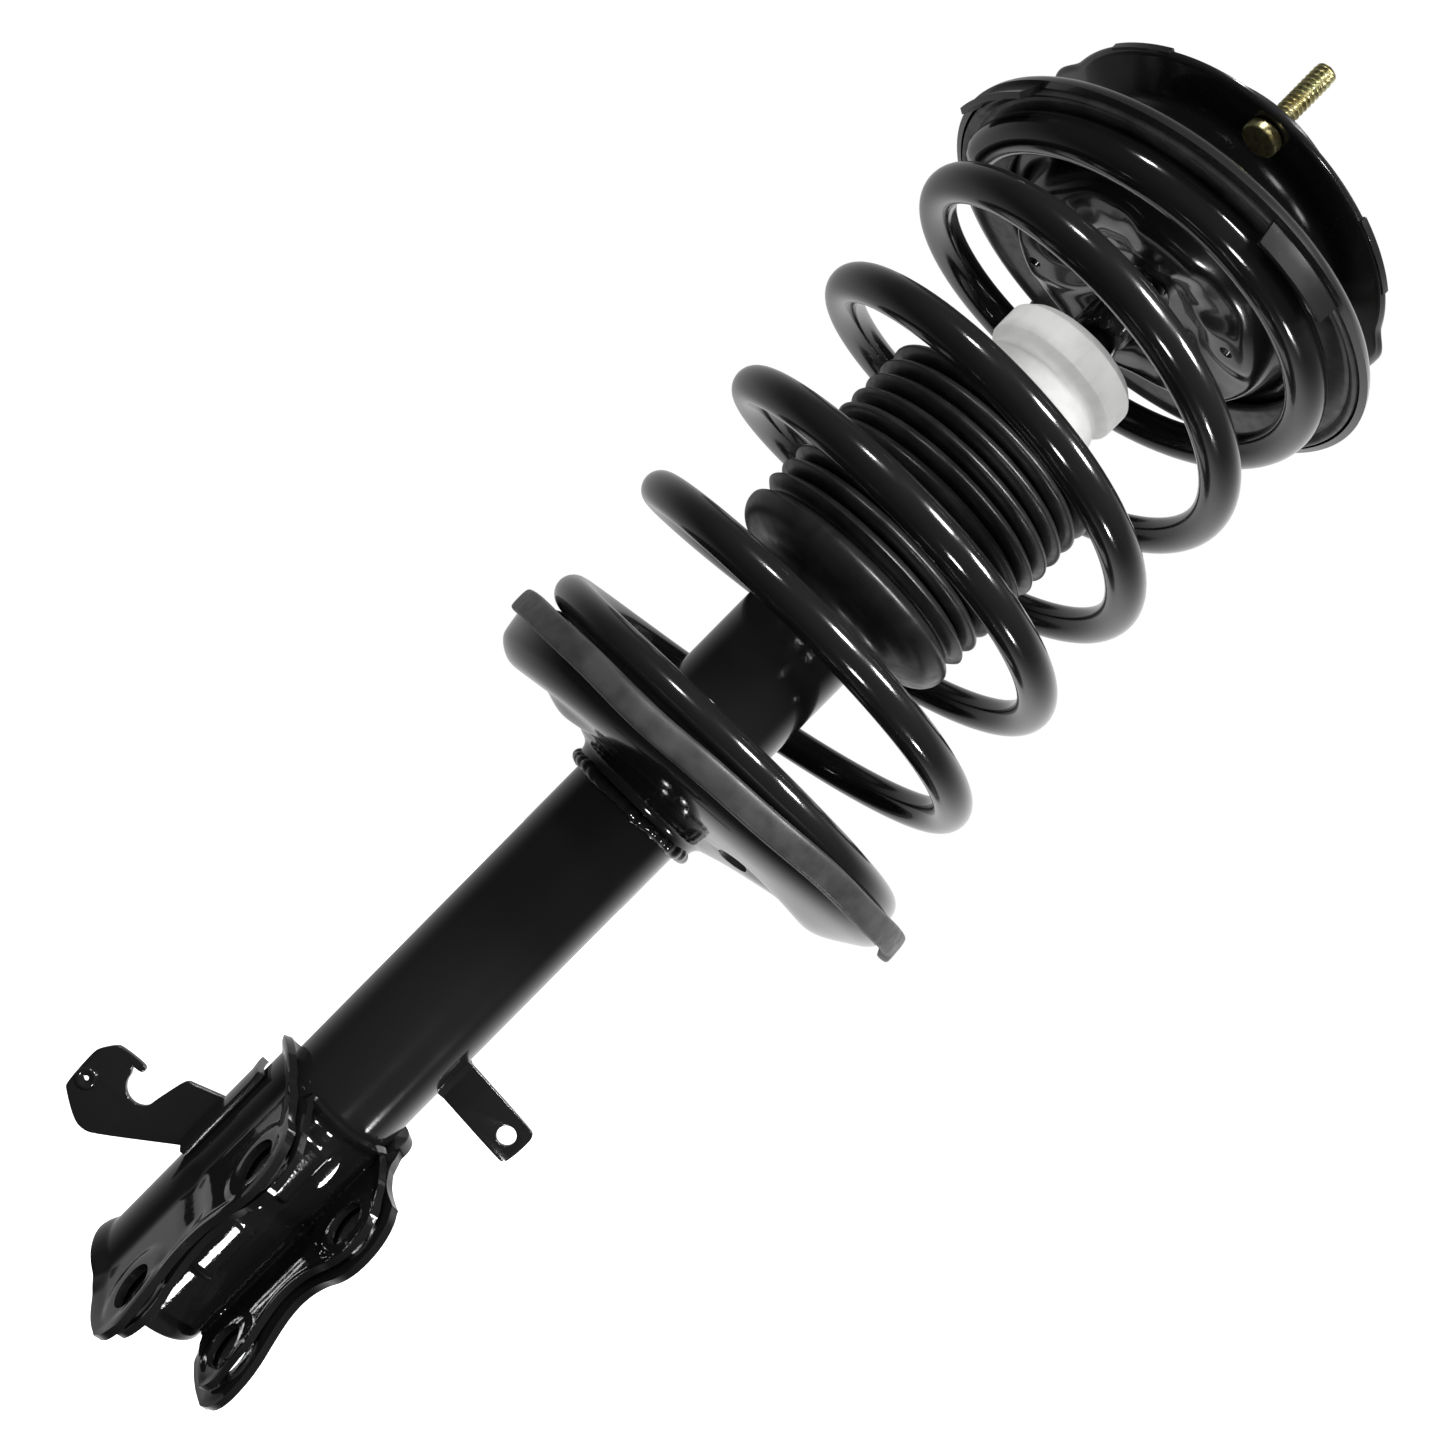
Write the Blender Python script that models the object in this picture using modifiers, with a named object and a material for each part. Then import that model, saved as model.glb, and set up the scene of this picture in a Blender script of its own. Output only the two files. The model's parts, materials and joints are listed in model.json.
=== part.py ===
"""Front suspension strut assembly: damper, coil spring, dust boot, top mount and knuckle bracket.

Frame: +Z up the damper axis, +X the way the knuckle flanges point, +Y along the knuckle bolts.
The origin is the middle of the base cap's underside. Units are metres.
"""

import math

import bmesh
import bpy
from mathutils import Matrix, Vector

# ---------------------------------------------------------------- driving dimensions
GAP = 0.0003                # between pieces that touch
RUN = 0.0004                # running clearance beside a moving piece
ROUND = 36                  # facets round a turned piece
ROUND_SMALL = 24            # and round a small one

TUBE_R = 0.024              # outer tube
TUBE_WALL = 0.0022
TUBE_TOP = 0.360
BASE_H = 0.010              # base cap
PRESS_R = 0.0165            # pressure tube inside it
PRESS_WALL = 0.0015
GUIDE_H = 0.016             # rod guide
SEAL_H = 0.006
GLAND_H = 0.008

ROD_R = 0.010
ROD_STUB_R = 0.007          # threaded end that the top nut holds
SHOULDER_DROP = 0.0045      # from the upper seat's rim down to the rod's shoulder
TRAVEL = 0.080              # free travel down to the bump stop
PISTON_H = 0.018

SIDE_ANGLE = math.radians(65.8)     # the side that the spring and its seats are set towards
SEAT_TILT = math.radians(3.2)       # both spring seats lean by this
LOWER_SEAT_Z = 0.284                # top edge of the lower insulator, at its middle
LOWER_SEAT_SHIFT = 0.0105
UPPER_SEAT_SHIFT = -0.0006
SEAT_SHEET = 0.0026
LOWER_RIM_R = 0.0890
UPPER_RIM_R = 0.0872

WIRE_R = 0.0068
LOWER_ROOM = 0.0044         # from the wire out to the lower rim, and to the upper rim
UPPER_ROOM = 0.0060
COIL_LOW_R = LOWER_RIM_R - LOWER_ROOM - WIRE_R      # mean radius of the bottom turn
COIL_TOP_R = UPPER_RIM_R - UPPER_ROOM - WIRE_R      # and of the top one
COIL_TURNS = 6.0
COIL_BOW = 0.0043           # how far the middle of the spring bows sideways
COIL_SWING = math.radians(2.0)      # the open turns lean by more low down, and by less high up

BOOT_R = 0.0485
BOOT_DEPTH = 0.0062         # crest to valley
BOOT_WALL = 0.0012
BOOT_OVERLAP = 0.014        # the boot's lip hangs this far below the tube's top
BOOT_SKIRT = 0.0195         # plain length below the folds
BOOT_FOLDS = 10

STOP_R = 0.0280             # bump stop
STOP_H = 0.0405
STOP_TO_SEAT = 0.0382       # bare rod above the stop
UPPER_SEAT_Z = TUBE_TOP + TRAVEL + GAP + STOP_H + STOP_TO_SEAT

SHELL_SHEET = 0.0032        # outer stamping of the knuckle bracket
LINER_SHEET = 0.0029
FLANGE_HALF = 0.0235        # bolt axis to the outer face of a flange
HOLE_X = 0.0406
HOLE_Z = (0.0190, 0.0793)
HOLE_R = 0.0082

HOSE_SHEET = 0.003
STRAP_SHEET = 0.003
STRAP_Z = 0.134
STRAP_W = 0.0165
STRAP_END = 0.0610
STRAP_DROOP = math.radians(3.5)
STRAP_HOLE_R = 0.0038

SEAT_TO_MOUNT = 0.030
MOUNT_Z = UPPER_SEAT_Z + SEAT_TO_MOUNT      # underside of the mount's flange
BOWL_DEPTH = 0.020          # from the flange down to the floor of the bowl
BOWL_R = 0.0490
MOUNT_R = 0.0754
MOUNT_LOBE = 0.0036         # how far the three corners stand out
COVER_R = 0.0630            # cover plate over the flange
COVER_LOBE = 0.0070
MOUNT_SHEET = 0.0026
MOUNT_TURN = math.radians(-30.0)
STUD_PCD_R = 0.0636
STUD_R = 0.0039
STUD_HEAD_R = 0.0066
STUD_LENGTH = 0.0275
BEARING_H = 0.011
BEARING_R = 0.0240


# ---------------------------------------------------------------- helpers
for old in list(bpy.data.objects):
    bpy.data.objects.remove(old, do_unlink=True)

PARTS = bpy.data.collections.new("strut_assembly")
CUTTERS = bpy.data.collections.new("cutters")
bpy.context.scene.collection.children.link(PARTS)
bpy.context.scene.collection.children.link(CUTTERS)
CUTTERS.hide_render = True


def finish(name, colour, roughness, metallic):
    """A Principled BSDF material of one colour."""
    material = bpy.data.materials.new(name)
    material.use_nodes = True
    shader = material.node_tree.nodes["Principled BSDF"]
    shader.inputs["Base Color"].default_value = (*colour, 1.0)
    shader.inputs["Roughness"].default_value = roughness
    shader.inputs["Metallic"].default_value = metallic
    return material


BLACK_PAINT = finish("black_paint", (0.012, 0.012, 0.013), 0.16, 0.0)
BLACK_RUBBER = finish("black_rubber", (0.028, 0.028, 0.029), 0.55, 0.0)
CHROME = finish("chrome", (0.80, 0.80, 0.81), 0.08, 1.0)
STEEL = finish("steel", (0.55, 0.55, 0.56), 0.30, 1.0)
ZINC = finish("yellow_zinc", (0.62, 0.54, 0.26), 0.28, 1.0)
FOAM = finish("white_foam", (0.80, 0.80, 0.79), 0.60, 0.0)
BRONZE = finish("bronze", (0.60, 0.42, 0.20), 0.35, 1.0)
SEAL_RUBBER = finish("seal_rubber", (0.05, 0.05, 0.05), 0.50, 0.0)
PLASTIC = finish("cage_plastic", (0.25, 0.24, 0.22), 0.45, 0.0)


def place(name, mesh, material, collection=PARTS):
    """Puts a mesh in the scene as an object, with sharp edges kept sharp under smooth shading."""
    mesh.materials.append(material)
    mesh.shade_smooth()
    mesh.set_sharp_from_angle(angle=math.radians(35))
    obj = bpy.data.objects.new(name, mesh)
    collection.objects.link(obj)
    if collection == CUTTERS:
        obj.hide_render = True
        obj.display_type = "WIRE"
    return obj


def turned(name, profile, material, solid=False, steps=ROUND, collection=PARTS):
    """Turns a profile of (radius, height) points about Z. The points run down the outer side first.
    A solid profile starts and ends on the axis. Any other profile is a closed loop."""
    mesh = bpy.data.meshes.new(name)
    count = len(profile)
    edges = [(i, i + 1) for i in range(count - 1)]
    if not solid:
        edges.append((count - 1, 0))
    mesh.from_pydata([(r, 0.0, z) for r, z in profile], edges, [])
    obj = place(name, mesh, material, collection)
    screw = obj.modifiers.new("Turn", "SCREW")
    screw.steps = steps
    screw.render_steps = steps
    screw.use_merge_vertices = True
    screw.merge_threshold = 0.00001
    screw.use_smooth_shade = True
    return obj


def ring(name, inner, outer, bottom, top, material, steps=ROUND, collection=PARTS):
    profile = [(outer, top), (outer, bottom), (inner, bottom), (inner, top)]
    return turned(name, profile, material, steps=steps, collection=collection)


def rod(name, radius, bottom, top, material, steps=ROUND, collection=PARTS):
    profile = [(0.0, top), (radius, top), (radius, bottom), (0.0, bottom)]
    return turned(name, profile, material, solid=True, steps=steps, collection=collection)


def offset(line, distance):
    """The line moved sideways by a distance, to the right of its own direction."""
    moved = []
    for i, point in enumerate(line):
        before = Vector(line[max(i - 1, 0)])
        after = Vector(line[min(i + 1, len(line) - 1)])
        along_a = (Vector(point) - before).normalized() if i else (after - Vector(point)).normalized()
        along_b = (after - Vector(point)).normalized() if i < len(line) - 1 else along_a
        normal_a = Vector((along_a.y, -along_a.x))
        normal_b = Vector((along_b.y, -along_b.x))
        middle = (normal_a + normal_b).normalized()
        reach = distance / max(middle.dot(normal_a), 0.5)
        moved.append((point[0] + middle.x * reach, point[1] + middle.y * reach))
    return moved


def sheet(line, thickness):
    """Closed profile of a pressed sheet whose outer or lower side is the line, given top to bottom."""
    return list(line) + offset(line, thickness)[::-1]


def flat(name, outline, low, high, material, collection=PARTS, smooth_points=0):
    """A flat outline in XY, filled and carried from one height to the other."""
    curve = bpy.data.curves.new(name, "CURVE")
    curve.dimensions = "2D"
    curve.fill_mode = "BOTH"
    curve.extrude = (high - low) / 2
    if smooth_points:
        spline = curve.splines.new("BEZIER")
        spline.bezier_points.add(len(outline) - 1)
        for knot, (x, y) in zip(spline.bezier_points, outline):
            knot.co = (x, y, 0.0)
            knot.handle_left_type = "AUTO"
            knot.handle_right_type = "AUTO"
        curve.resolution_u = smooth_points
    else:
        spline = curve.splines.new("POLY")
        spline.points.add(len(outline) - 1)
        for knot, (x, y) in zip(spline.points, outline):
            knot.co = (x, y, 0.0, 1.0)
    spline.use_cyclic_u = True
    guide = bpy.data.objects.new(name + "_outline", curve)
    bpy.context.scene.collection.objects.link(guide)
    guide.location.z = (high + low) / 2
    return as_mesh(name, guide, material, collection)


def as_mesh(name, guide, material, collection=PARTS):
    """The curve object made a mesh, with its loose caps welded on."""
    bpy.context.view_layer.update()
    evaluated = guide.evaluated_get(bpy.context.evaluated_depsgraph_get())
    mesh = bpy.data.meshes.new_from_object(evaluated)
    mesh.materials.clear()
    mesh.transform(guide.matrix_world)
    shape = bmesh.new()
    shape.from_mesh(mesh)
    bmesh.ops.remove_doubles(shape, verts=shape.verts, dist=0.000001)
    bmesh.ops.recalc_face_normals(shape, faces=shape.faces)
    shape.to_mesh(mesh)
    shape.free()
    bpy.data.objects.remove(guide, do_unlink=True)
    return place(name, mesh, material, collection)


def stand_up(obj):
    """Turns an outline drawn in XY, with its thickness along Z, into one in XZ with its thickness along -Y."""
    obj.data.transform(Matrix.Rotation(math.radians(90), 4, "X"))
    return obj


def arc(radius, start, end, count):
    """Points along an arc about the origin, both ends included, with angles in degrees."""
    points = []
    for i in range(count + 1):
        angle = math.radians(start + (end - start) * i / count)
        points.append((radius * math.cos(angle), radius * math.sin(angle)))
    return points


def boolean(obj, tool, operation):
    modifier = obj.modifiers.new(operation.title(), "BOOLEAN")
    modifier.operation = operation
    modifier.object = tool
    modifier.solver = "EXACT"
    return modifier


def loft(name, rings, material):
    """A closed skin through rings of points. The last ring joins on to the first."""
    shape = bmesh.new()
    rows = [[shape.verts.new(point) for point in points] for points in rings]
    for i, row in enumerate(rows):
        following = rows[(i + 1) % len(rows)]
        for j in range(len(row)):
            k = (j + 1) % len(row)
            shape.faces.new((row[j], row[k], following[k], following[j]))
    bmesh.ops.recalc_face_normals(shape, faces=shape.faces)
    mesh = bpy.data.meshes.new(name)
    shape.to_mesh(mesh)
    shape.free()
    return place(name, mesh, material)


def seat_frame(shift, height):
    """Where a spring seat sits: set over to one side, and leaning so that this side is the higher."""
    side = Vector((math.cos(SIDE_ANGLE), math.sin(SIDE_ANGLE), 0.0))
    lean = Matrix.Rotation(-SEAT_TILT, 4, Vector((-side.y, side.x, 0.0)))
    return Matrix.Translation(side * shift + Vector((0.0, 0.0, height))) @ lean


# ---------------------------------------------------------------- damper body
TUBE_BORE = TUBE_R - TUBE_WALL
PRESS_BORE = PRESS_R - PRESS_WALL
GLAND_Z = TUBE_TOP - GLAND_H
SEAL_Z = GLAND_Z - GAP - SEAL_H
GUIDE_Z = SEAL_Z - GAP - GUIDE_H
VALVE_Z = BASE_H + GAP
VALVE_H = 0.008
PRESS_Z = VALVE_Z + VALVE_H + GAP


def damper_body():
    ring("outer_tube", TUBE_BORE, TUBE_R, 0.0, TUBE_TOP, BLACK_PAINT)
    rod("base_cap", TUBE_BORE - GAP, 0.0, BASE_H, BLACK_PAINT)
    rod("base_valve", PRESS_R, VALVE_Z, VALVE_Z + VALVE_H, STEEL, steps=ROUND_SMALL)
    shim_z = PRESS_Z + GAP
    rod("base_valve_shim", PRESS_BORE - 0.003, shim_z, shim_z + 0.0008, STEEL, steps=ROUND_SMALL)
    ring("pressure_tube", PRESS_BORE, PRESS_R, PRESS_Z, GUIDE_Z - GAP, STEEL, steps=ROUND_SMALL)
    bush_r = ROD_R + RUN + 0.0016
    ring("rod_guide", bush_r + GAP, TUBE_BORE - GAP, GUIDE_Z, GUIDE_Z + GUIDE_H, STEEL)
    ring("guide_bush", ROD_R + RUN, bush_r, GUIDE_Z, GUIDE_Z + GUIDE_H, BRONZE, steps=ROUND_SMALL)
    ring("oil_seal", ROD_R + RUN, TUBE_BORE - GAP, SEAL_Z, SEAL_Z + SEAL_H, SEAL_RUBBER, steps=ROUND_SMALL)
    ring("gland_nut", ROD_R + 2 * RUN, TUBE_BORE - GAP, GLAND_Z, TUBE_TOP, STEEL)


# ---------------------------------------------------------------- piston rod and what it carries
REBOUND_H = 0.006
PISTON_Z = GUIDE_Z - GAP - REBOUND_H - 0.0035 - PISTON_H
SHOULDER_Z = UPPER_SEAT_Z - SHOULDER_DROP
BEARING_Z = MOUNT_Z - BOWL_DEPTH + 0.001
WASHER_Z = BEARING_Z + BEARING_H + GAP
WASHER_H = 0.0025
NUT_Z = WASHER_Z + WASHER_H + GAP
NUT_H = 0.009
NUT_CORNER_R = 0.0121       # 21 mm across the flats


def hex_nut(name, bottom, top, material):
    """A plain hexagon nut on the rod's threaded end."""
    nut = rod(name, NUT_CORNER_R, bottom, top, material, steps=6)
    tool = rod(name + "_bore", ROD_STUB_R + GAP, bottom - 0.002, top + 0.002, material,
               steps=ROUND_SMALL, collection=CUTTERS)
    boolean(nut, tool, "DIFFERENCE")


def rod_assembly():
    nut_z = PISTON_Z - 0.008 - GAP
    stub_top = NUT_Z + NUT_H + 0.003
    profile = [
        (0.0, stub_top),
        (ROD_STUB_R, stub_top),
        (ROD_STUB_R, SHOULDER_Z),
        (ROD_R, SHOULDER_Z),
        (ROD_R, PISTON_Z + PISTON_H + 0.002),
        (ROD_STUB_R, PISTON_Z + PISTON_H + 0.002),
        (ROD_STUB_R, nut_z - 0.002),
        (0.0, nut_z - 0.002),
    ]
    turned("piston_rod", profile, CHROME, solid=True, steps=ROUND_SMALL)
    bore = ROD_STUB_R + GAP
    skirt = PRESS_BORE - RUN
    groove = skirt - 0.0015
    low = PISTON_Z + 0.005
    high = PISTON_Z + 0.013
    piston = [
        (skirt - GAP, PISTON_Z + PISTON_H),
        (skirt - GAP, high),
        (groove, high),
        (groove, low),
        (skirt - GAP, low),
        (skirt - GAP, PISTON_Z),
        (bore, PISTON_Z),
        (bore, PISTON_Z + PISTON_H),
    ]
    turned("piston", piston, STEEL, steps=ROUND_SMALL)
    ring("piston_ring", groove + GAP, skirt, low + GAP, high - GAP, BRONZE, steps=ROUND_SMALL)
    shim_low = PISTON_Z - GAP - 0.0010
    ring("compression_shim", bore, skirt - 0.003, shim_low, shim_low + 0.0010, STEEL, steps=ROUND_SMALL)
    shim_high = PISTON_Z + PISTON_H + GAP
    ring("rebound_shim", bore, skirt - 0.003, shim_high, shim_high + 0.0010, STEEL, steps=ROUND_SMALL)
    hex_nut("piston_nut", nut_z, shim_low - GAP, STEEL)
    stop_z = PISTON_Z + PISTON_H + 0.0035
    ring("rebound_stop", ROD_R + GAP, PRESS_BORE - 0.0015, stop_z, GUIDE_Z - GAP, SEAL_RUBBER, steps=ROUND_SMALL)


# ---------------------------------------------------------------- spring seats
def height_on(line, radius):
    """The height of a line, given rim first, at a radius."""
    for outer, inner in zip(line, line[1:]):
        if inner[0] <= radius <= outer[0]:
            share = (outer[0] - radius) / (outer[0] - inner[0])
            return outer[1] + (inner[1] - outer[1]) * share
    return line[-1][1]


# Each line is the underside of a pressed dish in its own leaning frame, rim first.
LOWER_DISH = [
    (LOWER_RIM_R, -0.0040),
    (LOWER_RIM_R - 0.0010, -0.0085),
    (LOWER_RIM_R - 0.0045, -0.0128),
    (LOWER_RIM_R - 0.0105, -0.0162),
    (LOWER_RIM_R - 0.0180, -0.0185),
    (LOWER_RIM_R - 0.0360, -0.0205),
    (LOWER_RIM_R - 0.0520, -0.0245),
    (TUBE_R - 0.0100, -0.0262),
]
COLLAR_H = 0.012
PAD_TOP = -0.0077           # the coil rests this far below the insulator's lip


def lower_seat():
    where = seat_frame(LOWER_SEAT_SHIFT, LOWER_SEAT_Z)
    dish = turned("lower_spring_seat", sheet(LOWER_DISH, SEAT_SHEET), BLACK_PAINT)
    dish.matrix_world = where
    neck_top = LOWER_SEAT_Z - 0.0180
    neck_low = neck_top - COLLAR_H
    collar = ring("seat_collar", TUBE_R - 0.002, TUBE_R + GAP + 0.0034, neck_low, neck_top,
                  BLACK_PAINT, collection=CUTTERS)
    boolean(dish, collar, "UNION")
    bore = rod("seat_bore", TUBE_R + GAP, neck_low - 0.05, neck_top + 0.05, BLACK_PAINT, collection=CUTTERS)
    boolean(dish, bore, "DIFFERENCE")
    bead_z = neck_low - GAP
    bead = [
        (TUBE_R + 0.0042, bead_z),
        (TUBE_R + 0.0036, bead_z - 0.0025),
        (TUBE_R + GAP, bead_z - 0.0045),
        (TUBE_R + GAP, bead_z),
    ]
    turned("seat_weld", bead, BLACK_PAINT)

    upper_side = offset(LOWER_DISH, SEAT_SHEET + GAP)
    inner_r = COIL_LOW_R - 0.010
    lip_r = LOWER_RIM_R + GAP
    pad = [(lip_r + 0.0042, 0.0), (lip_r + 0.0048, -0.0100), (lip_r, -0.0105), (lip_r, -0.0028)]
    pad += [(upper_side[0][0], -0.0028)]
    pad += [(r, z) for r, z in upper_side if r > inner_r]
    pad += [(inner_r, height_on(upper_side, inner_r)), (inner_r, PAD_TOP), (COIL_LOW_R + WIRE_R, PAD_TOP)]
    pad += [(lip_r - 0.0035, 0.0)]
    insulator = turned("lower_insulator", pad, BLACK_RUBBER)
    insulator.matrix_world = where


UPPER_LAND = 0.0030         # underside of the upper seat over the coil, above its rim
COIL_LOW_Z = LOWER_SEAT_Z + PAD_TOP + GAP + WIRE_R
UPPER_PAD_LOW = -0.0004     # coil side of the upper insulator, from the seat's rim
COIL_TOP_Z = UPPER_SEAT_Z + UPPER_PAD_LOW - GAP - WIRE_R
UPPER_DISH = [
    (UPPER_RIM_R, -0.0008),
    (UPPER_RIM_R - 0.0025, UPPER_LAND),
    (UPPER_RIM_R - 0.0250, UPPER_LAND),
    (UPPER_RIM_R - 0.0310, -0.0010),
    (UPPER_RIM_R - 0.0360, -0.0105),
    (UPPER_RIM_R - 0.0390, -0.0120),
    (0.0360, -0.0120),
    (0.0250, -0.0062),
    (0.0180, -0.0035),
    (ROD_STUB_R + 0.0008, -0.0035),
]


def upper_seat():
    where = seat_frame(UPPER_SEAT_SHIFT, UPPER_SEAT_Z)
    dish = turned("upper_spring_seat", sheet(UPPER_DISH, SEAT_SHEET), BLACK_PAINT)
    dish.matrix_world = where
    bore = rod("hub_bore", ROD_STUB_R + GAP, SHOULDER_Z - 0.005, MOUNT_Z, BLACK_PAINT, collection=CUTTERS)
    boolean(dish, bore, "DIFFERENCE")
    land = UPPER_LAND - GAP
    coil_side = COIL_TOP_Z + WIRE_R + GAP - UPPER_SEAT_Z
    lip_r = COIL_TOP_R + WIRE_R + 2 * GAP
    outer_r = lip_r + 0.0022
    pad = [
        (outer_r, land),
        (outer_r + 0.0012, -0.0006),
        (outer_r + 0.0012, -0.0040),
        (lip_r, -0.0040),
        (lip_r, coil_side),
        (COIL_TOP_R - 0.0090, coil_side),
        (COIL_TOP_R - 0.0090, land),
    ]
    insulator = turned("upper_insulator", pad, BLACK_RUBBER)
    insulator.matrix_world = where


# ---------------------------------------------------------------- coil spring
COIL_POINTS = 18            # for each turn
CLOSE_LOW = (0.35, 0.95)    # turns over which the pitch opens from the bottom end
CLOSE_TOP = (5.00, 5.95)    # turns over which it closes again


def eased(x):
    x = min(max(x, 0.0), 1.0)
    return x * x * (3 - 2 * x)


def coil_line():
    """A left-hand coil whose end turns lie in the leaning planes of the seats and whose middle bows."""
    side = Vector((math.cos(SIDE_ANGLE), math.sin(SIDE_ANGLE), 0.0))
    count = int(COIL_TURNS * COIL_POINTS)
    shares = []
    for i in range(count):
        turn = (i + 0.5) * COIL_TURNS / count
        low = eased((turn - CLOSE_LOW[0]) / (CLOSE_LOW[1] - CLOSE_LOW[0]))
        top = eased((turn - CLOSE_TOP[0]) / (CLOSE_TOP[1] - CLOSE_TOP[0]))
        shares.append(low * (1 - top))
    total = sum(shares)
    climbed = 0.0
    points = []
    for i in range(count + 1):
        turn = i * COIL_TURNS / count
        height = COIL_LOW_Z + (COIL_TOP_Z - COIL_LOW_Z) * climbed / total
        up = climbed / total
        shift = LOWER_SEAT_SHIFT + (UPPER_SEAT_SHIFT - LOWER_SEAT_SHIFT) * up - COIL_BOW * math.sin(math.pi * up)
        radius = COIL_LOW_R + (COIL_TOP_R - COIL_LOW_R) * up
        angle = SIDE_ANGLE + math.pi - 2 * math.pi * turn
        free = shares[min(i, count - 1)]
        tilt = SEAT_TILT + COIL_SWING * math.cos(math.pi * up) * free
        lean = radius * math.cos(angle - SIDE_ANGLE) * math.tan(tilt)
        points.append(side * shift + Vector((radius * math.cos(angle), radius * math.sin(angle), height + lean)))
        if i < count:
            climbed += shares[i]
    return points


def coil_spring():
    curve = bpy.data.curves.new("coil_spring", "CURVE")
    curve.dimensions = "3D"
    curve.bevel_depth = WIRE_R
    curve.bevel_resolution = 2
    curve.use_fill_caps = True
    line = coil_line()
    spline = curve.splines.new("POLY")
    spline.points.add(len(line) - 1)
    for knot, point in zip(spline.points, line):
        knot.co = (*point, 1.0)
    curve.materials.append(BLACK_PAINT)
    coil = bpy.data.objects.new("coil_spring", curve)
    PARTS.objects.link(coil)


# ---------------------------------------------------------------- bump stop and dust boot
STOP_LOW_Z = TUBE_TOP + TRAVEL + GAP
STOP_TOP_Z = STOP_LOW_Z + STOP_H
NECK_R = STOP_R - 0.0060    # the boot's collar grips the stop here
NECK_H = 0.0090


def bump_stop():
    top = STOP_TOP_Z
    profile = [
        (STOP_R - 0.0020, top),
        (STOP_R, top - 0.0020),
        (STOP_R, top - 0.0135),
        (STOP_R - 0.0030, top - 0.0170),
        (STOP_R - 0.0018, top - 0.0205),
        (STOP_R - 0.0022, STOP_LOW_Z + NECK_H + 0.0040),
        (NECK_R, STOP_LOW_Z + NECK_H),
        (NECK_R, STOP_LOW_Z),
        (ROD_R + RUN, STOP_LOW_Z),
        (ROD_R + RUN, top),
    ]
    turned("bump_stop", profile, FOAM, steps=ROUND)


def dust_boot():
    valley = BOOT_R - BOOT_DEPTH
    neck_z = STOP_LOW_Z + NECK_H - 0.0050
    line = [
        (NECK_R + GAP + BOOT_WALL, neck_z + 0.0040),
        (NECK_R + GAP + BOOT_WALL + 0.0006, neck_z),
        (valley - 0.0050, neck_z - 0.0030),
    ]
    crest_z = neck_z - 0.0078
    lip_z = TUBE_TOP - BOOT_OVERLAP
    pitch = (crest_z - lip_z - BOOT_SKIRT) / BOOT_FOLDS
    for i in range(BOOT_FOLDS):
        line.append((BOOT_R - 0.0010, crest_z))
        line.append((valley, crest_z - pitch / 2))
        crest_z -= pitch
    line += [
        (BOOT_R, crest_z + 0.0005),
        (BOOT_R, crest_z - 0.0040),
        (BOOT_R - 0.0050, lip_z + 0.0040),
        (BOOT_R - 0.0120, lip_z),
    ]
    turned("dust_boot", sheet(line, BOOT_WALL), BLACK_RUBBER, steps=ROUND_SMALL)


# ---------------------------------------------------------------- knuckle bracket
SHELL_IN = TUBE_R + GAP
SHELL_OUT = SHELL_IN + SHELL_SHEET
FLANGE_X = 0.066            # longer than the outline that trims it


def bolt_holes():
    """One cutter for both bolts, right across the bracket."""
    shape = bmesh.new()
    for height in HOLE_Z:
        across = Matrix.Translation((HOLE_X, 0.0, height)) @ Matrix.Rotation(math.radians(90), 4, "X")
        bmesh.ops.create_cone(shape, cap_ends=True, segments=24, radius1=HOLE_R, radius2=HOLE_R,
                              depth=0.1, matrix=across)
    mesh = bpy.data.meshes.new("bolt_holes")
    shape.to_mesh(mesh)
    shape.free()
    return place("bolt_holes", mesh, STEEL, CUTTERS)


def side_outline(name, outline):
    """A trimming block in XZ that reaches right across the bracket."""
    return stand_up(flat(name, outline, -0.05, 0.05, STEEL, CUTTERS, smooth_points=5))


def knuckle_bracket(holes):
    half_in = FLANGE_HALF - SHELL_SHEET
    open_out = math.degrees(math.asin(FLANGE_HALF / SHELL_OUT))
    open_in = math.degrees(math.asin(half_in / SHELL_IN))
    outline = [(FLANGE_X, FLANGE_HALF)]
    outline += arc(SHELL_OUT, open_out, 360 - open_out, 20)
    outline += [(FLANGE_X, -FLANGE_HALF), (FLANGE_X, -half_in)]
    outline += arc(SHELL_IN, 360 - open_in, open_in, 20)
    outline += [(FLANGE_X, half_in)]
    shell = flat("knuckle_bracket", outline, -0.02, 0.13, BLACK_PAINT)
    low_x = HOLE_X + 0.0160
    middle = (HOLE_Z[0] + HOLE_Z[1]) / 2
    trim = [
        (-0.034, 0.001),
        (-0.012, 0.003),
        (0.006, -0.001),
        (HOLE_X - 0.0130, HOLE_Z[0] - 0.0245),
        (low_x - 0.0060, HOLE_Z[0] - 0.0175),
        (low_x, HOLE_Z[0] - 0.0050),
        (low_x - 0.0020, HOLE_Z[0] + 0.0110),
        (low_x - 0.0095, middle),
        (low_x - 0.0015, HOLE_Z[1] - 0.0130),
        (low_x + 0.0018, HOLE_Z[1]),
        (low_x - 0.0040, HOLE_Z[1] + 0.0130),
        (HOLE_X - 0.0100, HOLE_Z[1] + 0.0170),
        (0.0190, HOLE_Z[1] + 0.0170),
        (0.0060, HOLE_Z[1] + 0.0275),
        (-0.0060, HOLE_Z[1] + 0.0250),
        (-0.034, HOLE_Z[1] + 0.0200),
    ]
    boolean(shell, side_outline("bracket_trim", trim), "INTERSECT")
    boolean(shell, holes, "DIFFERENCE")


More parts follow.
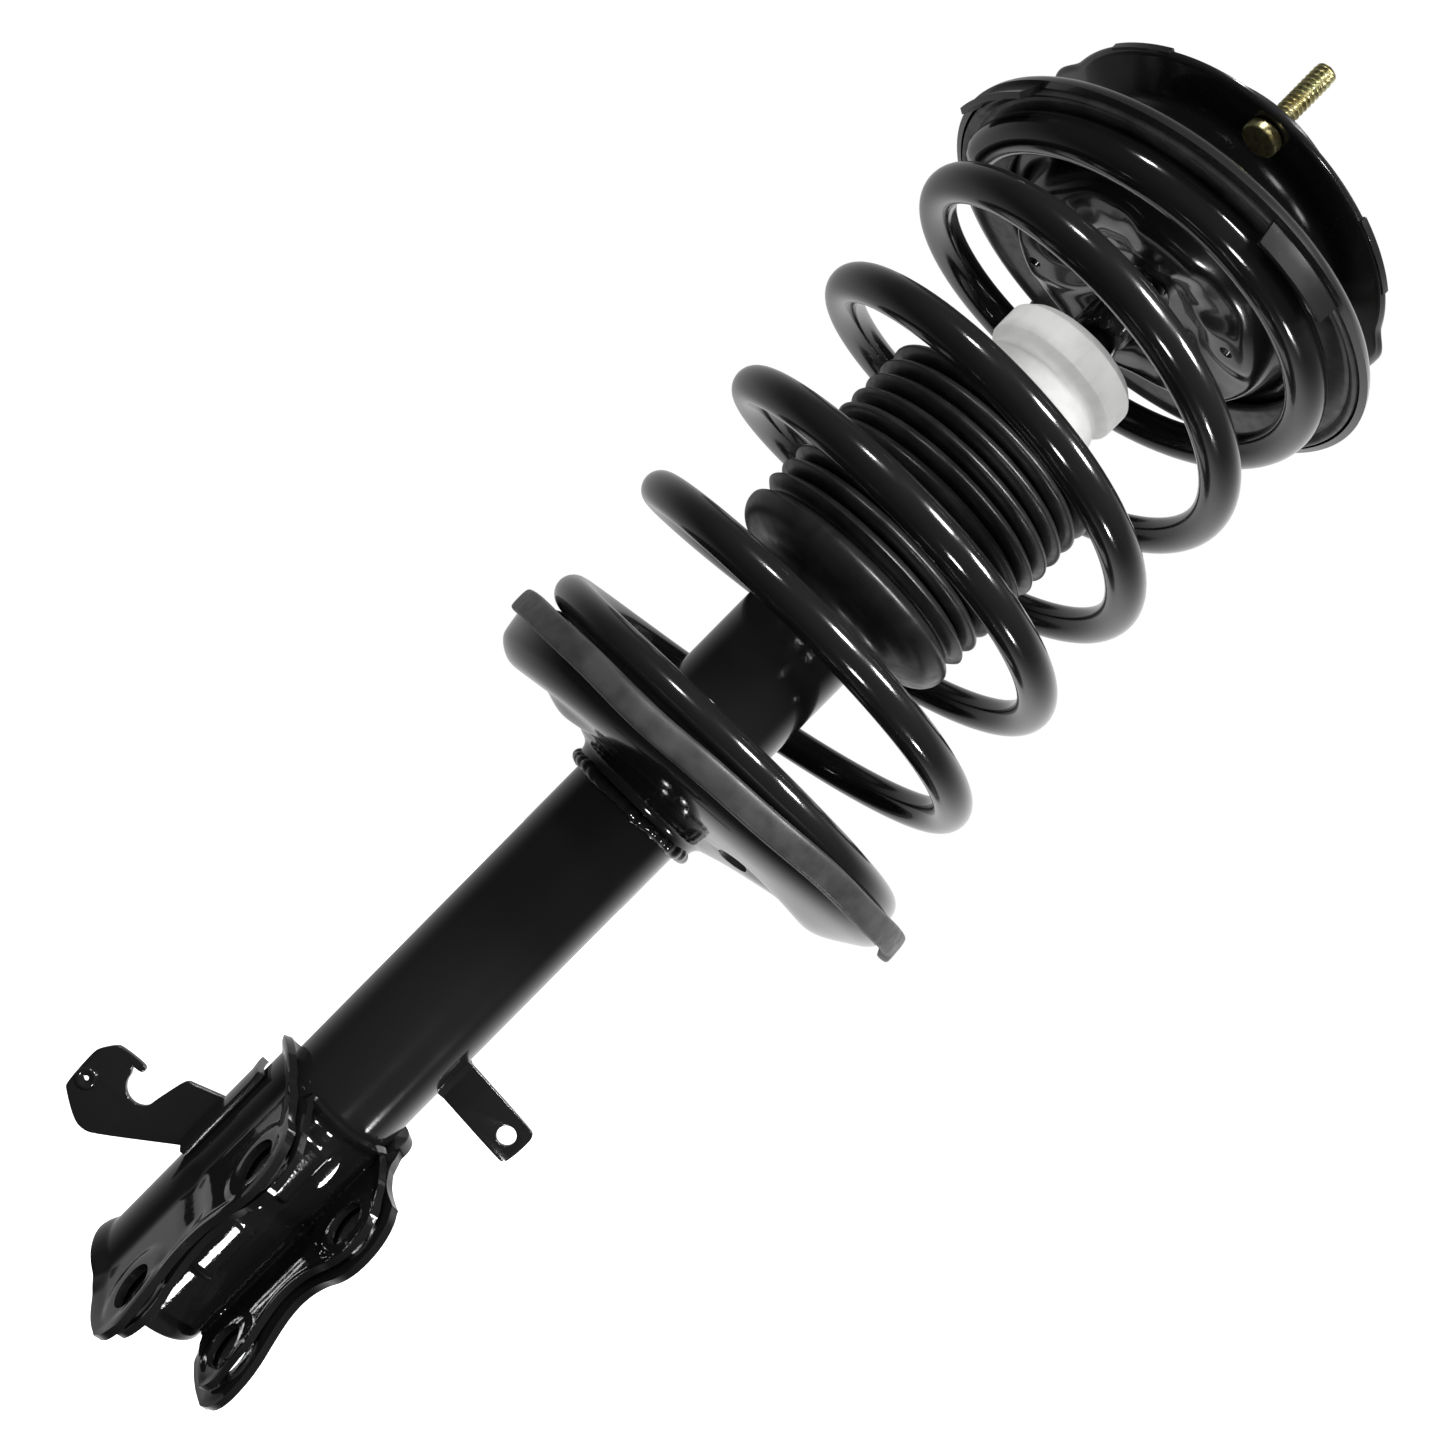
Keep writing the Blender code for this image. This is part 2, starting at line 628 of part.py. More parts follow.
def bracket_liner(holes):
    outer = FLANGE_HALF - SHELL_SHEET - GAP
    inner = outer - LINER_SHEET
    front = SHELL_IN + LINER_SHEET
    open_back = math.degrees(math.asin(outer / SHELL_IN))
    open_front = math.degrees(math.asin(inner / front))
    outline = [(FLANGE_X, outer)]
    outline += arc(SHELL_IN, open_back, -open_back, 12)
    outline += [(FLANGE_X, -outer), (FLANGE_X, -inner)]
    outline += arc(front, -open_front, open_front, 10)
    outline += [(FLANGE_X, inner)]
    liner = flat("bracket_liner", outline, -0.02, 0.13, BLACK_PAINT)
    edge_x = HOLE_X + 0.0140
    middle = (HOLE_Z[0] + HOLE_Z[1]) / 2
    trim = [
        (0.008, HOLE_Z[0] - 0.0090),
        (0.030, HOLE_Z[0] - 0.0100),
        (edge_x - 0.0030, HOLE_Z[0] - 0.0110),
        (edge_x, HOLE_Z[0]),
        (edge_x - 0.0030, HOLE_Z[0] + 0.0130),
        (edge_x - 0.0110, middle),
        (edge_x - 0.0030, HOLE_Z[1] - 0.0130),
        (edge_x + 0.0010, HOLE_Z[1]),
        (edge_x - 0.0040, HOLE_Z[1] + 0.0120),
        (0.032, HOLE_Z[1] + 0.0160),
        (0.024, HOLE_Z[1] + 0.0215),
        (0.008, HOLE_Z[1] + 0.0205),
    ]
    boolean(liner, side_outline("liner_trim", trim), "INTERSECT")
    boolean(liner, holes, "DIFFERENCE")


# ---------------------------------------------------------------- small brackets on the damper body
ARM_ANGLE = math.degrees(SIDE_ANGLE) + 180.0
HOSE_Z = 0.0495
HOSE_REACH = 0.0485
HOSE_TAB = (0.050, 0.091)


def hose_bracket():
    """A plate that stands out from the shell, with a hooked slot for the hose, on a curved tab."""
    inner = SHELL_OUT + GAP
    root = inner + 0.0003
    end = root + HOSE_REACH
    slot_r = 0.0068
    slot_x = root + 0.0265
    slot_z = HOSE_Z + 0.0025
    outline = [
        (root, HOSE_Z),
        (end - 0.0190, HOSE_Z - 0.0240),
        (end - 0.0130, HOSE_Z - 0.0252),
        (end, HOSE_Z - 0.0170),
        (end + 0.0010, HOSE_Z + 0.0005),
        (end - 0.0030, HOSE_Z + 0.0060),
        (end - 0.0170, HOSE_Z + 0.0080),
        (slot_x + slot_r, slot_z + 0.0020),
    ]
    outline += [(slot_x + x, slot_z + y) for x, y in arc(slot_r, 0, -180, 8)]
    outline += [(root + 0.0190, HOSE_Z + 0.0150), (root + 0.0030, HOSE_Z + 0.0220), (root, HOSE_Z + 0.0220)]
    plate = stand_up(flat("hose_bracket", outline, 0.0, HOSE_SHEET, BLACK_PAINT))
    plate.data.transform(Matrix.Rotation(math.radians(ARM_ANGLE), 4, "Z"))
    outer = inner + HOSE_SHEET
    tab_outline = arc(outer, ARM_ANGLE - 3, ARM_ANGLE + 26, 8) + arc(inner, ARM_ANGLE + 26, ARM_ANGLE - 3, 8)
    tab = flat("hose_tab", tab_outline, *HOSE_TAB, BLACK_PAINT, CUTTERS)
    boolean(plate, tab, "UNION")
    hole = rod("hose_hole", 0.0021, -0.01, 0.01, STEEL, steps=12, collection=CUTTERS)
    spot = Matrix.Rotation(math.radians(ARM_ANGLE), 4, "Z") @ Matrix.Translation((end - 0.0045, 0.0, HOSE_Z - 0.0100))
    hole.matrix_world = spot @ Matrix.Rotation(math.radians(90), 4, "X")
    boolean(plate, hole, "DIFFERENCE")


def strap_bracket():
    """The wiring strap: a flat arm with a rounded end and one hole, on a curved foot behind the tube."""
    inner = TUBE_R + GAP
    side = math.degrees(SIDE_ANGLE)
    back = 0.0100
    root = math.sqrt(inner * inner - (back - STRAP_SHEET) ** 2) + 0.0006
    half = STRAP_W / 2
    nose = 0.0035
    outline = [(root, STRAP_Z - half), (STRAP_END - nose, STRAP_Z - half)]
    outline += [(STRAP_END - nose + x, STRAP_Z - half + nose + y) for x, y in arc(nose, -60, 0, 3)]
    outline += [(STRAP_END - nose + x, STRAP_Z + half - nose + y) for x, y in arc(nose, 0, 90, 4)]
    outline += [(root, STRAP_Z + half)]
    arm = stand_up(flat("strap_bracket", outline, -back, -back + STRAP_SHEET, BLACK_PAINT))
    root_spot = Matrix.Translation((root, 0.0, STRAP_Z))
    droop = root_spot @ Matrix.Rotation(STRAP_DROOP, 4, "Y") @ root_spot.inverted()
    arm.data.transform(Matrix.Rotation(math.radians(side), 4, "Z") @ droop)
    outer = inner + STRAP_SHEET
    foot_outline = arc(outer, side + 14, side + 60, 8) + arc(inner, side + 60, side + 14, 8)
    foot = flat("strap_foot", foot_outline, STRAP_Z - half, STRAP_Z + half, BLACK_PAINT, CUTTERS)
    boolean(arm, foot, "UNION")
    hole = rod("strap_hole", STRAP_HOLE_R, -0.03, 0.03, STEEL, steps=ROUND_SMALL, collection=CUTTERS)
    spot = Matrix.Rotation(math.radians(side), 4, "Z") @ droop
    spot = spot @ Matrix.Translation((STRAP_END - 0.0075, 0.0, STRAP_Z))
    hole.matrix_world = spot @ Matrix.Rotation(math.radians(90), 4, "X")
    boolean(arm, hole, "DIFFERENCE")


# ---------------------------------------------------------------- top mount
def lobed(line, thickness, steps=ROUND):
    """Rings for a sheet that has three corners at its edge. Each point is (radius, height, share of the lobe)."""
    closed = sheet([(r, z) for r, z, share in line], thickness)
    shares = [share for r, z, share in line]
    shares += shares[::-1]
    rings = []
    for (radius, height), share in zip(closed, shares):
        points = []
        for j in range(steps):
            angle = 2 * math.pi * j / steps
            lobe = MOUNT_LOBE * share * math.cos(3 * (angle - MOUNT_TURN))
            points.append(((radius + lobe) * math.cos(angle), (radius + lobe) * math.sin(angle), height))
        rings.append(points)
    return rings


def stud_holes():
    shape = bmesh.new()
    for i in range(3):
        angle = MOUNT_TURN + i * 2 * math.pi / 3
        spot = Matrix.Translation((STUD_PCD_R * math.cos(angle), STUD_PCD_R * math.sin(angle), MOUNT_Z))
        bmesh.ops.create_cone(shape, cap_ends=True, segments=20, radius1=STUD_R + GAP, radius2=STUD_R + GAP,
                              depth=0.04, matrix=spot)
    mesh = bpy.data.meshes.new("stud_holes")
    shape.to_mesh(mesh)
    shape.free()
    return place("stud_holes", mesh, STEEL, CUTTERS)


def top_mount():
    floor = MOUNT_Z - BOWL_DEPTH
    holes = stud_holes()
    plate_line = [
        (MOUNT_R, MOUNT_Z + 0.0014, 1.0),
        (MOUNT_R - 0.0014, MOUNT_Z, 1.0),
        (STUD_PCD_R - STUD_HEAD_R - 0.0012, MOUNT_Z, 0.0),
        (BOWL_R + 0.0040, MOUNT_Z - 0.0030, 0.0),
        (BOWL_R + 0.0020, MOUNT_Z - 0.0090, 0.0),
        (BOWL_R, floor + 0.0025, 0.0),
        (BOWL_R - 0.0025, floor, 0.0),
        (BEARING_R + 0.0010, floor, 0.0),
    ]
    plate = loft("mount_plate", lobed(plate_line, MOUNT_SHEET), BLACK_PAINT)
    boolean(plate, holes, "DIFFERENCE")
    cover_z = MOUNT_Z + MOUNT_SHEET + GAP
    cover_line = [
        (COVER_R, cover_z, COVER_LOBE / MOUNT_LOBE),
        (BOWL_R + 0.0050, cover_z, 0.0),
        (BOWL_R - 0.0020, cover_z + 0.0020, 0.0),
        (BOWL_R - 0.0080, cover_z + 0.0070, 0.0),
        (BOWL_R - 0.0130, cover_z + 0.0085, 0.0),
        (0.0220, cover_z + 0.0090, 0.0),
    ]
    cover = loft("mount_cover", lobed(cover_line, MOUNT_SHEET), BLACK_PAINT)
    boolean(cover, holes, "DIFFERENCE")

    rubber_low = floor + MOUNT_SHEET + 2 * GAP
    wall_low = BOWL_R - MOUNT_SHEET - 0.0010
    rubber = [
        (wall_low + 0.0020, rubber_low + 0.0125),
        (wall_low, rubber_low + 0.0030),
        (wall_low - 0.0025, rubber_low),
        (BEARING_R + GAP, rubber_low),
        (BEARING_R + GAP, rubber_low + 0.0125),
    ]
    turned("isolator_rubber", rubber, SEAL_RUBBER)
    ring("bearing_outer_race", BEARING_R - 0.0050, BEARING_R, BEARING_Z, BEARING_Z + BEARING_H, STEEL)
    bearing_cage()
    for i in range(3):
        mount_stud(i)


def bearing_cage():
    """Ten balls held by one ring, between the two races."""
    middle = BEARING_R - 0.0080
    cage_low = BEARING_Z + BEARING_H / 2 - 0.0016
    cage = ring("bearing_cage", middle - 0.0015, middle + 0.0015, cage_low, cage_low + 0.0032, PLASTIC, steps=ROUND)
    shape = bmesh.new()
    for i in range(10):
        angle = 2 * math.pi * i / 10
        spot = Matrix.Translation((middle * math.cos(angle), middle * math.sin(angle), BEARING_Z + BEARING_H / 2))
        bmesh.ops.create_uvsphere(shape, u_segments=8, v_segments=5, radius=0.0026, matrix=spot)
    mesh = bpy.data.meshes.new("bearing_balls")
    shape.to_mesh(mesh)
    shape.free()
    boolean(cage, place("bearing_balls", mesh, STEEL, CUTTERS), "UNION")


def mount_stud(i):
    angle = MOUNT_TURN + i * 2 * math.pi / 3
    top = MOUNT_Z + STUD_LENGTH
    profile = [
        (0.0, top),
        (STUD_R - 0.0008, top),
        (STUD_R, top - 0.0010),
        (STUD_R, MOUNT_Z - GAP),
        (STUD_HEAD_R, MOUNT_Z - GAP),
        (STUD_HEAD_R, MOUNT_Z - 0.0030),
        (STUD_HEAD_R - 0.0006, MOUNT_Z - 0.0036),
        (0.0, MOUNT_Z - 0.0036),
    ]
    stud = turned(f"mount_stud_{i + 1}", profile, ZINC, solid=True, steps=ROUND_SMALL)
    stud.location = (STUD_PCD_R * math.cos(angle), STUD_PCD_R * math.sin(angle), 0.0)


def rod_top():
    """What the rod's threaded end clamps: spacer, inner race, washer and nut."""
    bore = ROD_STUB_R + GAP
    spacer_low = UPPER_SEAT_Z - 0.0035 + SEAT_SHEET + 0.0012
    ring("bearing_spacer", bore, 0.0115, spacer_low, BEARING_Z - GAP, STEEL, steps=ROUND_SMALL)
    ring("bearing_inner_race", bore, BEARING_R - 0.0110, BEARING_Z, BEARING_Z + BEARING_H, STEEL)
    ring("rod_washer", bore, BEARING_R - 0.0080, WASHER_Z, WASHER_Z + WASHER_H, STEEL)
    hex_nut("rod_nut", NUT_Z, NUT_Z + NUT_H, ZINC)


# ---------------------------------------------------------------- build
damper_body()
rod_assembly()
lower_seat()
upper_seat()
coil_spring()
bump_stop()
dust_boot()
bolts = bolt_holes()
knuckle_bracket(bolts)
bracket_liner(bolts)
hose_bracket()
strap_bracket()
top_mount()
rod_top()
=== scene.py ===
# %% [markdown]
# # A front suspension strut
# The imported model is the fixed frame: it gives every piece its real place and says what moves.
# This lesson gives each piece its finished shape as a surface worked out with numpy, and each
# surface its paint, rubber, foam or plating as a node material. We load the frame first.

# %% Load the fixed frame
import json
import math

import bmesh
import bpy
import numpy as np
from mathutils import Matrix, Vector


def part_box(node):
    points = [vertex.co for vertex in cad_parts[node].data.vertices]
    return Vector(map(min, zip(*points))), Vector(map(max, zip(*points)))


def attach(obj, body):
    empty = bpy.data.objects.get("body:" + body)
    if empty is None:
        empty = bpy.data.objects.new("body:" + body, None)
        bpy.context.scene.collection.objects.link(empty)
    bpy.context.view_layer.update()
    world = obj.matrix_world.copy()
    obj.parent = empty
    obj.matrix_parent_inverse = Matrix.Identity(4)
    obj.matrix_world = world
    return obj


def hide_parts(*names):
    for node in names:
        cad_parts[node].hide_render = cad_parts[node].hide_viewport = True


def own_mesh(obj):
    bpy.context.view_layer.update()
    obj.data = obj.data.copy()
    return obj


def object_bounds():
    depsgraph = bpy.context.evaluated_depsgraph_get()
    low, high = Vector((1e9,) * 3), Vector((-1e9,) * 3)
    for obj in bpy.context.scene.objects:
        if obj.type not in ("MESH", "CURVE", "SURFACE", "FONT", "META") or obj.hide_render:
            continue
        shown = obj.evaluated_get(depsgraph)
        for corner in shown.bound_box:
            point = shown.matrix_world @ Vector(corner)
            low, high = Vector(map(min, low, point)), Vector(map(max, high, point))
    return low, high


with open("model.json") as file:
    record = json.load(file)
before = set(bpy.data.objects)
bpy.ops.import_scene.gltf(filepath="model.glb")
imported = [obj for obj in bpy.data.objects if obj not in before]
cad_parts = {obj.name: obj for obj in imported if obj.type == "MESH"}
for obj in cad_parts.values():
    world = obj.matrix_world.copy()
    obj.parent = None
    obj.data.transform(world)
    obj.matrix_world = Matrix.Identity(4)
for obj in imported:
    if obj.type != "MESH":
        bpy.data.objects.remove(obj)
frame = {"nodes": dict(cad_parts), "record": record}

cad_low, cad_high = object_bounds()
print("the model is", [round((b - a) * 1000, 1) for a, b in zip(cad_low, cad_high)], "mm")

# %% [markdown]
# ## Finishes
# Almost every part is pressed or drawn steel under one coat of gloss black paint. Real paint is
# never one flat value: it has a faint orange-peel ripple, a few dull specks of dust, and it is
# thinner and so a little duller here and there. A Principled shader takes the base colour, and
# noise on Object coordinates drives its roughness and a very low bump.

# %% One function for a finish, and its small node helpers
def new_finish(name, colour, roughness, metallic=0.0, coat=0.0):
    """A Principled material. Returns it with its node tree and its shader."""
    material = bpy.data.materials.new(name)
    material.use_nodes = True
    tree = material.node_tree
    shader = tree.nodes["Principled BSDF"]
    shader.inputs["Base Color"].default_value = (*colour, 1.0)
    shader.inputs["Roughness"].default_value = roughness
    shader.inputs["Metallic"].default_value = metallic
    shader.inputs["Coat Weight"].default_value = coat
    shader.inputs["Coat Roughness"].default_value = 0.04
    return material, tree, shader


def noise(tree, size_mm, detail=3.0, stretch=(1.0, 1.0, 1.0)):
    """Noise on Object coordinates, with blotches of about the size given."""
    where = tree.nodes.new("ShaderNodeTexCoord")
    scaled = tree.nodes.new("ShaderNodeMapping")
    scaled.inputs["Scale"].default_value = [1000.0 / size_mm / s for s in stretch]
    texture = tree.nodes.new("ShaderNodeTexNoise")
    texture.inputs["Scale"].default_value = 1.0
    texture.inputs["Detail"].default_value = detail
    tree.links.new(where.outputs["Object"], scaled.inputs["Vector"])
    tree.links.new(scaled.outputs["Vector"], texture.inputs["Vector"])
    return texture.outputs["Fac"]


def ramp(tree, value, stops):
    """A colour ramp: stops are (position, grey or colour)."""
    node = tree.nodes.new("ShaderNodeValToRGB")
    colours = node.color_ramp.elements
    while len(colours) < len(stops):
        colours.new(0.5)
    for element, (position, colour) in zip(colours, stops):
        element.position = position
        rgb = (colour,) * 3 if isinstance(colour, float) else colour
        element.color = (*rgb, 1.0)
    tree.links.new(value, node.inputs["Fac"])
    return node.outputs["Color"]


def bump(tree, shader, value, height_mm, below=None):
    """A bump whose full height is given in millimetres."""
    node = tree.nodes.new("ShaderNodeBump")
    node.inputs["Strength"].default_value = 1.0
    node.inputs["Distance"].default_value = height_mm / 1000.0
    tree.links.new(value, node.inputs["Height"])
    if below is not None:
        tree.links.new(below, node.inputs["Normal"])
    tree.links.new(node.outputs["Normal"], shader.inputs["Normal"])
    return node.outputs["Normal"]


print("helpers for finishes are ready")


# %% Gloss black paint
def gloss_paint(name, roughness=(0.10, 0.17), ripple_mm=0.012, tone=0.0085):
    """Black enamel: blotchy gloss between two roughness values, dust specks, and a low ripple."""
    material, tree, shader = new_finish(name, (tone,) * 3, roughness[0], coat=0.35)
    blotch = noise(tree, 26.0, 4.0)
    rough = ramp(tree, blotch, [(0.35, roughness[0]), (0.70, roughness[1])])
    speck = ramp(tree, noise(tree, 0.9, 1.0), [(0.72, 0.0), (0.80, 0.08)])
    mixed = tree.nodes.new("ShaderNodeMath")
    mixed.operation = "ADD"
    tree.links.new(rough, mixed.inputs[0])
    tree.links.new(speck, mixed.inputs[1])
    tree.links.new(mixed.outputs["Value"], shader.inputs["Roughness"])
    peel = bump(tree, shader, noise(tree, 3.2, 2.0), ripple_mm)
    bump(tree, shader, noise(tree, 1.1, 2.0), ripple_mm * 0.35, below=peel)
    return material


BODY_PAINT = gloss_paint("body_paint")
SPRING_PAINT = gloss_paint("spring_paint", (0.12, 0.20), 0.016, 0.0075)
BRACKET_PAINT = gloss_paint("bracket_paint", (0.06, 0.10), 0.050, 0.0065)
MOUNT_PAINT = gloss_paint("mount_paint", (0.16, 0.26), 0.010, 0.0095)
print("four black paints")


# %% Rubber, foam, plating and bare steel
def rubber(name, tone, roughness, grain_mm):
    """Moulded rubber: dull, with a faint bloom in patches and a fine grain from the mould."""
    material, tree, shader = new_finish(name, (tone,) * 3, roughness)
    bloom = ramp(tree, noise(tree, 9.0, 6.0), [(0.30, tone * 0.75), (0.75, tone * 1.7)])
    tree.links.new(bloom, shader.inputs["Base Color"])
    rough = ramp(tree, noise(tree, 4.0, 4.0), [(0.30, roughness - 0.07), (0.75, roughness + 0.10)])
    tree.links.new(rough, shader.inputs["Roughness"])
    bump(tree, shader, noise(tree, 0.55, 3.0), grain_mm)
    return material


def foam():
    """Cast urethane: off-white, with tiny closed cells, soft grey marks and a slight waxy sheen."""
    material, tree, shader = new_finish("urethane_foam", (0.80, 0.80, 0.79), 0.52)
    marks = ramp(tree, noise(tree, 7.0, 5.0), [(0.28, (0.75, 0.75, 0.74)), (0.52, (0.83, 0.83, 0.82))])
    tree.links.new(marks, shader.inputs["Base Color"])
    shader.inputs["Subsurface Weight"].default_value = 0.10
    shader.inputs["Subsurface Radius"].default_value = (0.003, 0.003, 0.003)
    cells = bump(tree, shader, noise(tree, 0.35, 2.0), 0.02)
    bump(tree, shader, noise(tree, 2.6, 2.0), 0.03, below=cells)
    return material


def plated(name, colours, roughness, size_mm=5.0):
    """Plated steel: a metal whose tint wanders between two or three colours."""
    material, tree, shader = new_finish(name, colours[0], roughness, metallic=1.0)
    stops = [(0.30 + 0.40 * i / (len(colours) - 1), c) for i, c in enumerate(colours)]
    tree.links.new(ramp(tree, noise(tree, size_mm, 4.0), stops), shader.inputs["Base Color"])
    rough = ramp(tree, noise(tree, 1.3, 3.0), [(0.30, roughness * 0.7), (0.75, roughness * 1.5)])
    tree.links.new(rough, shader.inputs["Roughness"])
    bump(tree, shader, noise(tree, 0.8, 2.0), 0.006)
    return material


def ground_steel(name, tone, roughness):
    """Turned or ground metal: very fine grooves that run round the axis, from bands of noise along it."""
    material, tree, shader = new_finish(name, (tone, tone, tone * 1.01), roughness, metallic=1.0)
    grooves = noise(tree, 0.35, 2.0, (60.0, 60.0, 1.0))
    rough = ramp(tree, grooves, [(0.30, roughness * 0.7), (0.70, roughness * 1.5)])
    tree.links.new(rough, shader.inputs["Roughness"])
    cloud = ramp(tree, noise(tree, 8.0, 3.0), [(0.3, tone * 0.85), (0.7, tone)])
    tree.links.new(cloud, shader.inputs["Base Color"])
    bump(tree, shader, grooves, 0.003)
    return material


BOOT_RUBBER = rubber("boot_rubber", 0.008, 0.36, 0.008)
PAD_RUBBER = rubber("pad_rubber", 0.022, 0.42, 0.030)
INNER_RUBBER = rubber("inner_rubber", 0.040, 0.50, 0.020)
URETHANE = foam()
ROD_CHROME = ground_steel("rod_chrome", 0.82, 0.07)
YELLOW_ZINC = plated("yellow_zinc_plate", [(0.52, 0.44, 0.18), (0.66, 0.60, 0.32), (0.56, 0.56, 0.30)], 0.34)
BARE_STEEL = ground_steel("turned_steel", 0.52, 0.28)
BRONZE = plated("bearing_bronze", [(0.55, 0.36, 0.16), (0.66, 0.46, 0.22)], 0.30)
CAGE_PLASTIC = rubber("cage_plastic", 0.20, 0.45, 0.008)
print("rubber, foam, plating and steel finishes")

# %% [markdown]
# ## Surfaces from arrays
# A pressed or turned part is a surface P(u, v): a profile carried round an axis, or a flat blank
# that a formula bends. Both give a grid of points, so one function can turn any grid into faces
# by stepping through the index array, with no loop over single points. Sizes are in millimetres
# here, because that is how such a part is drawn, and become metres when the mesh is made.

# %% Grids, profiles and shells
MM = 0.001


def grid_faces(rows, columns, wrap_rows=False, wrap_columns=False):
    """Quads between neighbours of a grid of points, joined up end to start where it wraps."""
    index = np.arange(rows * columns).reshape(rows, columns)
    if wrap_rows:
        index = np.vstack([index, index[:1]])
    if wrap_columns:
        index = np.hstack([index, index[:, :1]])
    corners = [index[:-1, :-1], index[1:, :-1], index[1:, 1:], index[:-1, 1:]]
    return np.stack(corners, axis=-1).reshape(-1, 4)


def smooth_line(points, rounds=3, closed=False):
    """Corner cutting: each stretch of the line is kept from a quarter to three quarters of its
    length, again and again, which rounds every corner. The ends of an open line stay."""
    line = np.asarray(points, float)
    for _ in range(rounds):
        start = line if closed else line[:-1]
        following = np.roll(line, -1, axis=0) if closed else line[1:]
        cut = np.stack([0.75 * start + 0.25 * following, 0.25 * start + 0.75 * following], axis=1)
        cut = cut.reshape(-1, line.shape[1])
        line = cut if closed else np.vstack([line[:1], cut, line[-1:]])
    return line


def evenly(line, count):
    """The line again, with count points at equal distances along it."""
    line = np.asarray(line, float)
    along = np.concatenate([[0.0], np.cumsum(np.linalg.norm(np.diff(line, axis=0), axis=1))])
    wanted = np.linspace(0.0, along[-1], count)
    return np.stack([np.interp(wanted, along, column) for column in line.T], axis=1)


def wall_loop(line, thickness):
    """Closed profile of a sheet: the line, then the line moved to the right of its direction by the
    thickness, back to the start."""
    step = np.gradient(line, axis=0)
    step /= np.linalg.norm(step, axis=1)[:, None]
    other = line + thickness * np.stack([step[:, 1], -step[:, 0]], axis=1)
    return np.vstack([line, other[::-1]])


def around(radius, angle, height):
    """Points (r cos a, r sin a, z) from three arrays that are stretched to one shape."""
    radius, angle, height = np.broadcast_arrays(radius, angle, height)
    return np.stack([radius * np.cos(angle), radius * np.sin(angle), height], axis=-1)


def polar(points):
    """The distance of each point from the Z axis, and its angle round it."""
    return np.hypot(points[..., 0], points[..., 1]), np.arctan2(points[..., 1], points[..., 0])


def full_turn(steps):
    """The angles of a whole turn in equal steps, from 0."""
    return np.linspace(0.0, 2 * np.pi, steps, endpoint=False)


def turned(profile, steps):
    """The profile of (radius, height) at each of the steps round Z."""
    radius, height = np.asarray(profile, float).T
    return around(radius, full_turn(steps)[:, None], height)


def unit(vectors):
    """The same directions, each with length one."""
    return vectors / np.maximum(np.linalg.norm(vectors, axis=-1, keepdims=True), 1e-9)


def sheet_shell(front, thickness):
    """Points and faces of a closed sheet: the front grid, the same grid moved along its normals by
    the thickness, and the four rims between them."""
    normal = unit(np.cross(np.gradient(front, axis=0), np.gradient(front, axis=1)))
    loop = np.concatenate([front, (front + thickness * normal)[:, ::-1]], axis=1)
    rows, columns = front.shape[:2]
    faces = grid_faces(rows, 2 * columns, wrap_columns=True)
    j = np.arange(columns - 1)
    rim = np.stack([j, j + 1, 2 * columns - 2 - j, 2 * columns - 1 - j], axis=-1)
    return loop.reshape(-1, 3), np.vstack([faces, rim, rim + (rows - 1) * 2 * columns])


print("surface helpers are ready")


# %% Making a piece
def link(name, data):
    """A new object at the origin, in the scene."""
    made = bpy.data.objects.new(name, data)
    bpy.context.scene.collection.objects.link(made)
    return made


def shade(mesh, sharp=38.0):
    """Smooth shading, but for edges sharper than an angle in degrees."""
    mesh.shade_smooth()
    mesh.set_sharp_from_angle(angle=math.radians(sharp))


def add_mesh(name, points, faces, sharp=38.0):
    """A mesh object from points in millimetres. Doubles are merged, so that poles and seams close,
    and then the faces are turned outwards."""
    mesh = bpy.data.meshes.new(name)
    mesh.from_pydata(np.asarray(points).reshape(-1, 3) * MM, [], faces.tolist())
    shape = bmesh.new()
    shape.from_mesh(mesh)
    bmesh.ops.remove_doubles(shape, verts=shape.verts, dist=2e-6)
    bmesh.ops.dissolve_degenerate(shape, edges=shape.edges, dist=1e-6)
    bmesh.ops.recalc_face_normals(shape, faces=shape.faces)
    shape.to_mesh(mesh)
    shape.free()
    shade(mesh, sharp)
    return link(name, mesh)


def fit_out(piece, material, slot, body, *nodes):
    """The piece's finish, the body it moves with, and what it stands for. The slot is not used."""
    piece.data.materials.clear()
    piece.data.materials.append(material)
    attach(piece, body)
    if nodes:
        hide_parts(*nodes)
    print(f"{piece.name}: {len(piece.data.polygons)} faces")
    return piece


def add_turned(name, profile, steps=128, closed=True, change=None, sharp=38.0):
    """A turned piece. A closed profile is a ring. An open one starts and ends on the axis."""
    points = turned(profile, steps)
    if change is not None:
        points = change(points)
    return add_mesh(name, points, grid_faces(*points.shape[:2], True, closed), sharp)


def join(name, *pieces):
    """Several mesh objects as one, under a new name."""
    merged = bmesh.new()
    for piece in pieces:
        merged.from_mesh(piece.data)
        bpy.data.objects.remove(piece, do_unlink=True)
    mesh = bpy.data.meshes.new(name)
    merged.to_mesh(mesh)
    merged.free()
    shade(mesh)
    return link(name, mesh)


def at(x, y, z):
    """The matrix of a place given in millimetres."""
    return Matrix.Translation((x * MM, y * MM, z * MM))


def drills(spots, radius, depth, segments):
    """One cutting tool of closed round drills, each at the place and turn of its matrix."""
    shape = bmesh.new()
    for spot in spots:
        bmesh.ops.create_cone(shape, cap_ends=True, segments=segments, radius1=radius * MM,
                              radius2=radius * MM, depth=depth * MM, matrix=spot)
    mesh = bpy.data.meshes.new("drills")
    shape.to_mesh(mesh)
    shape.free()
    return link("drills", mesh)


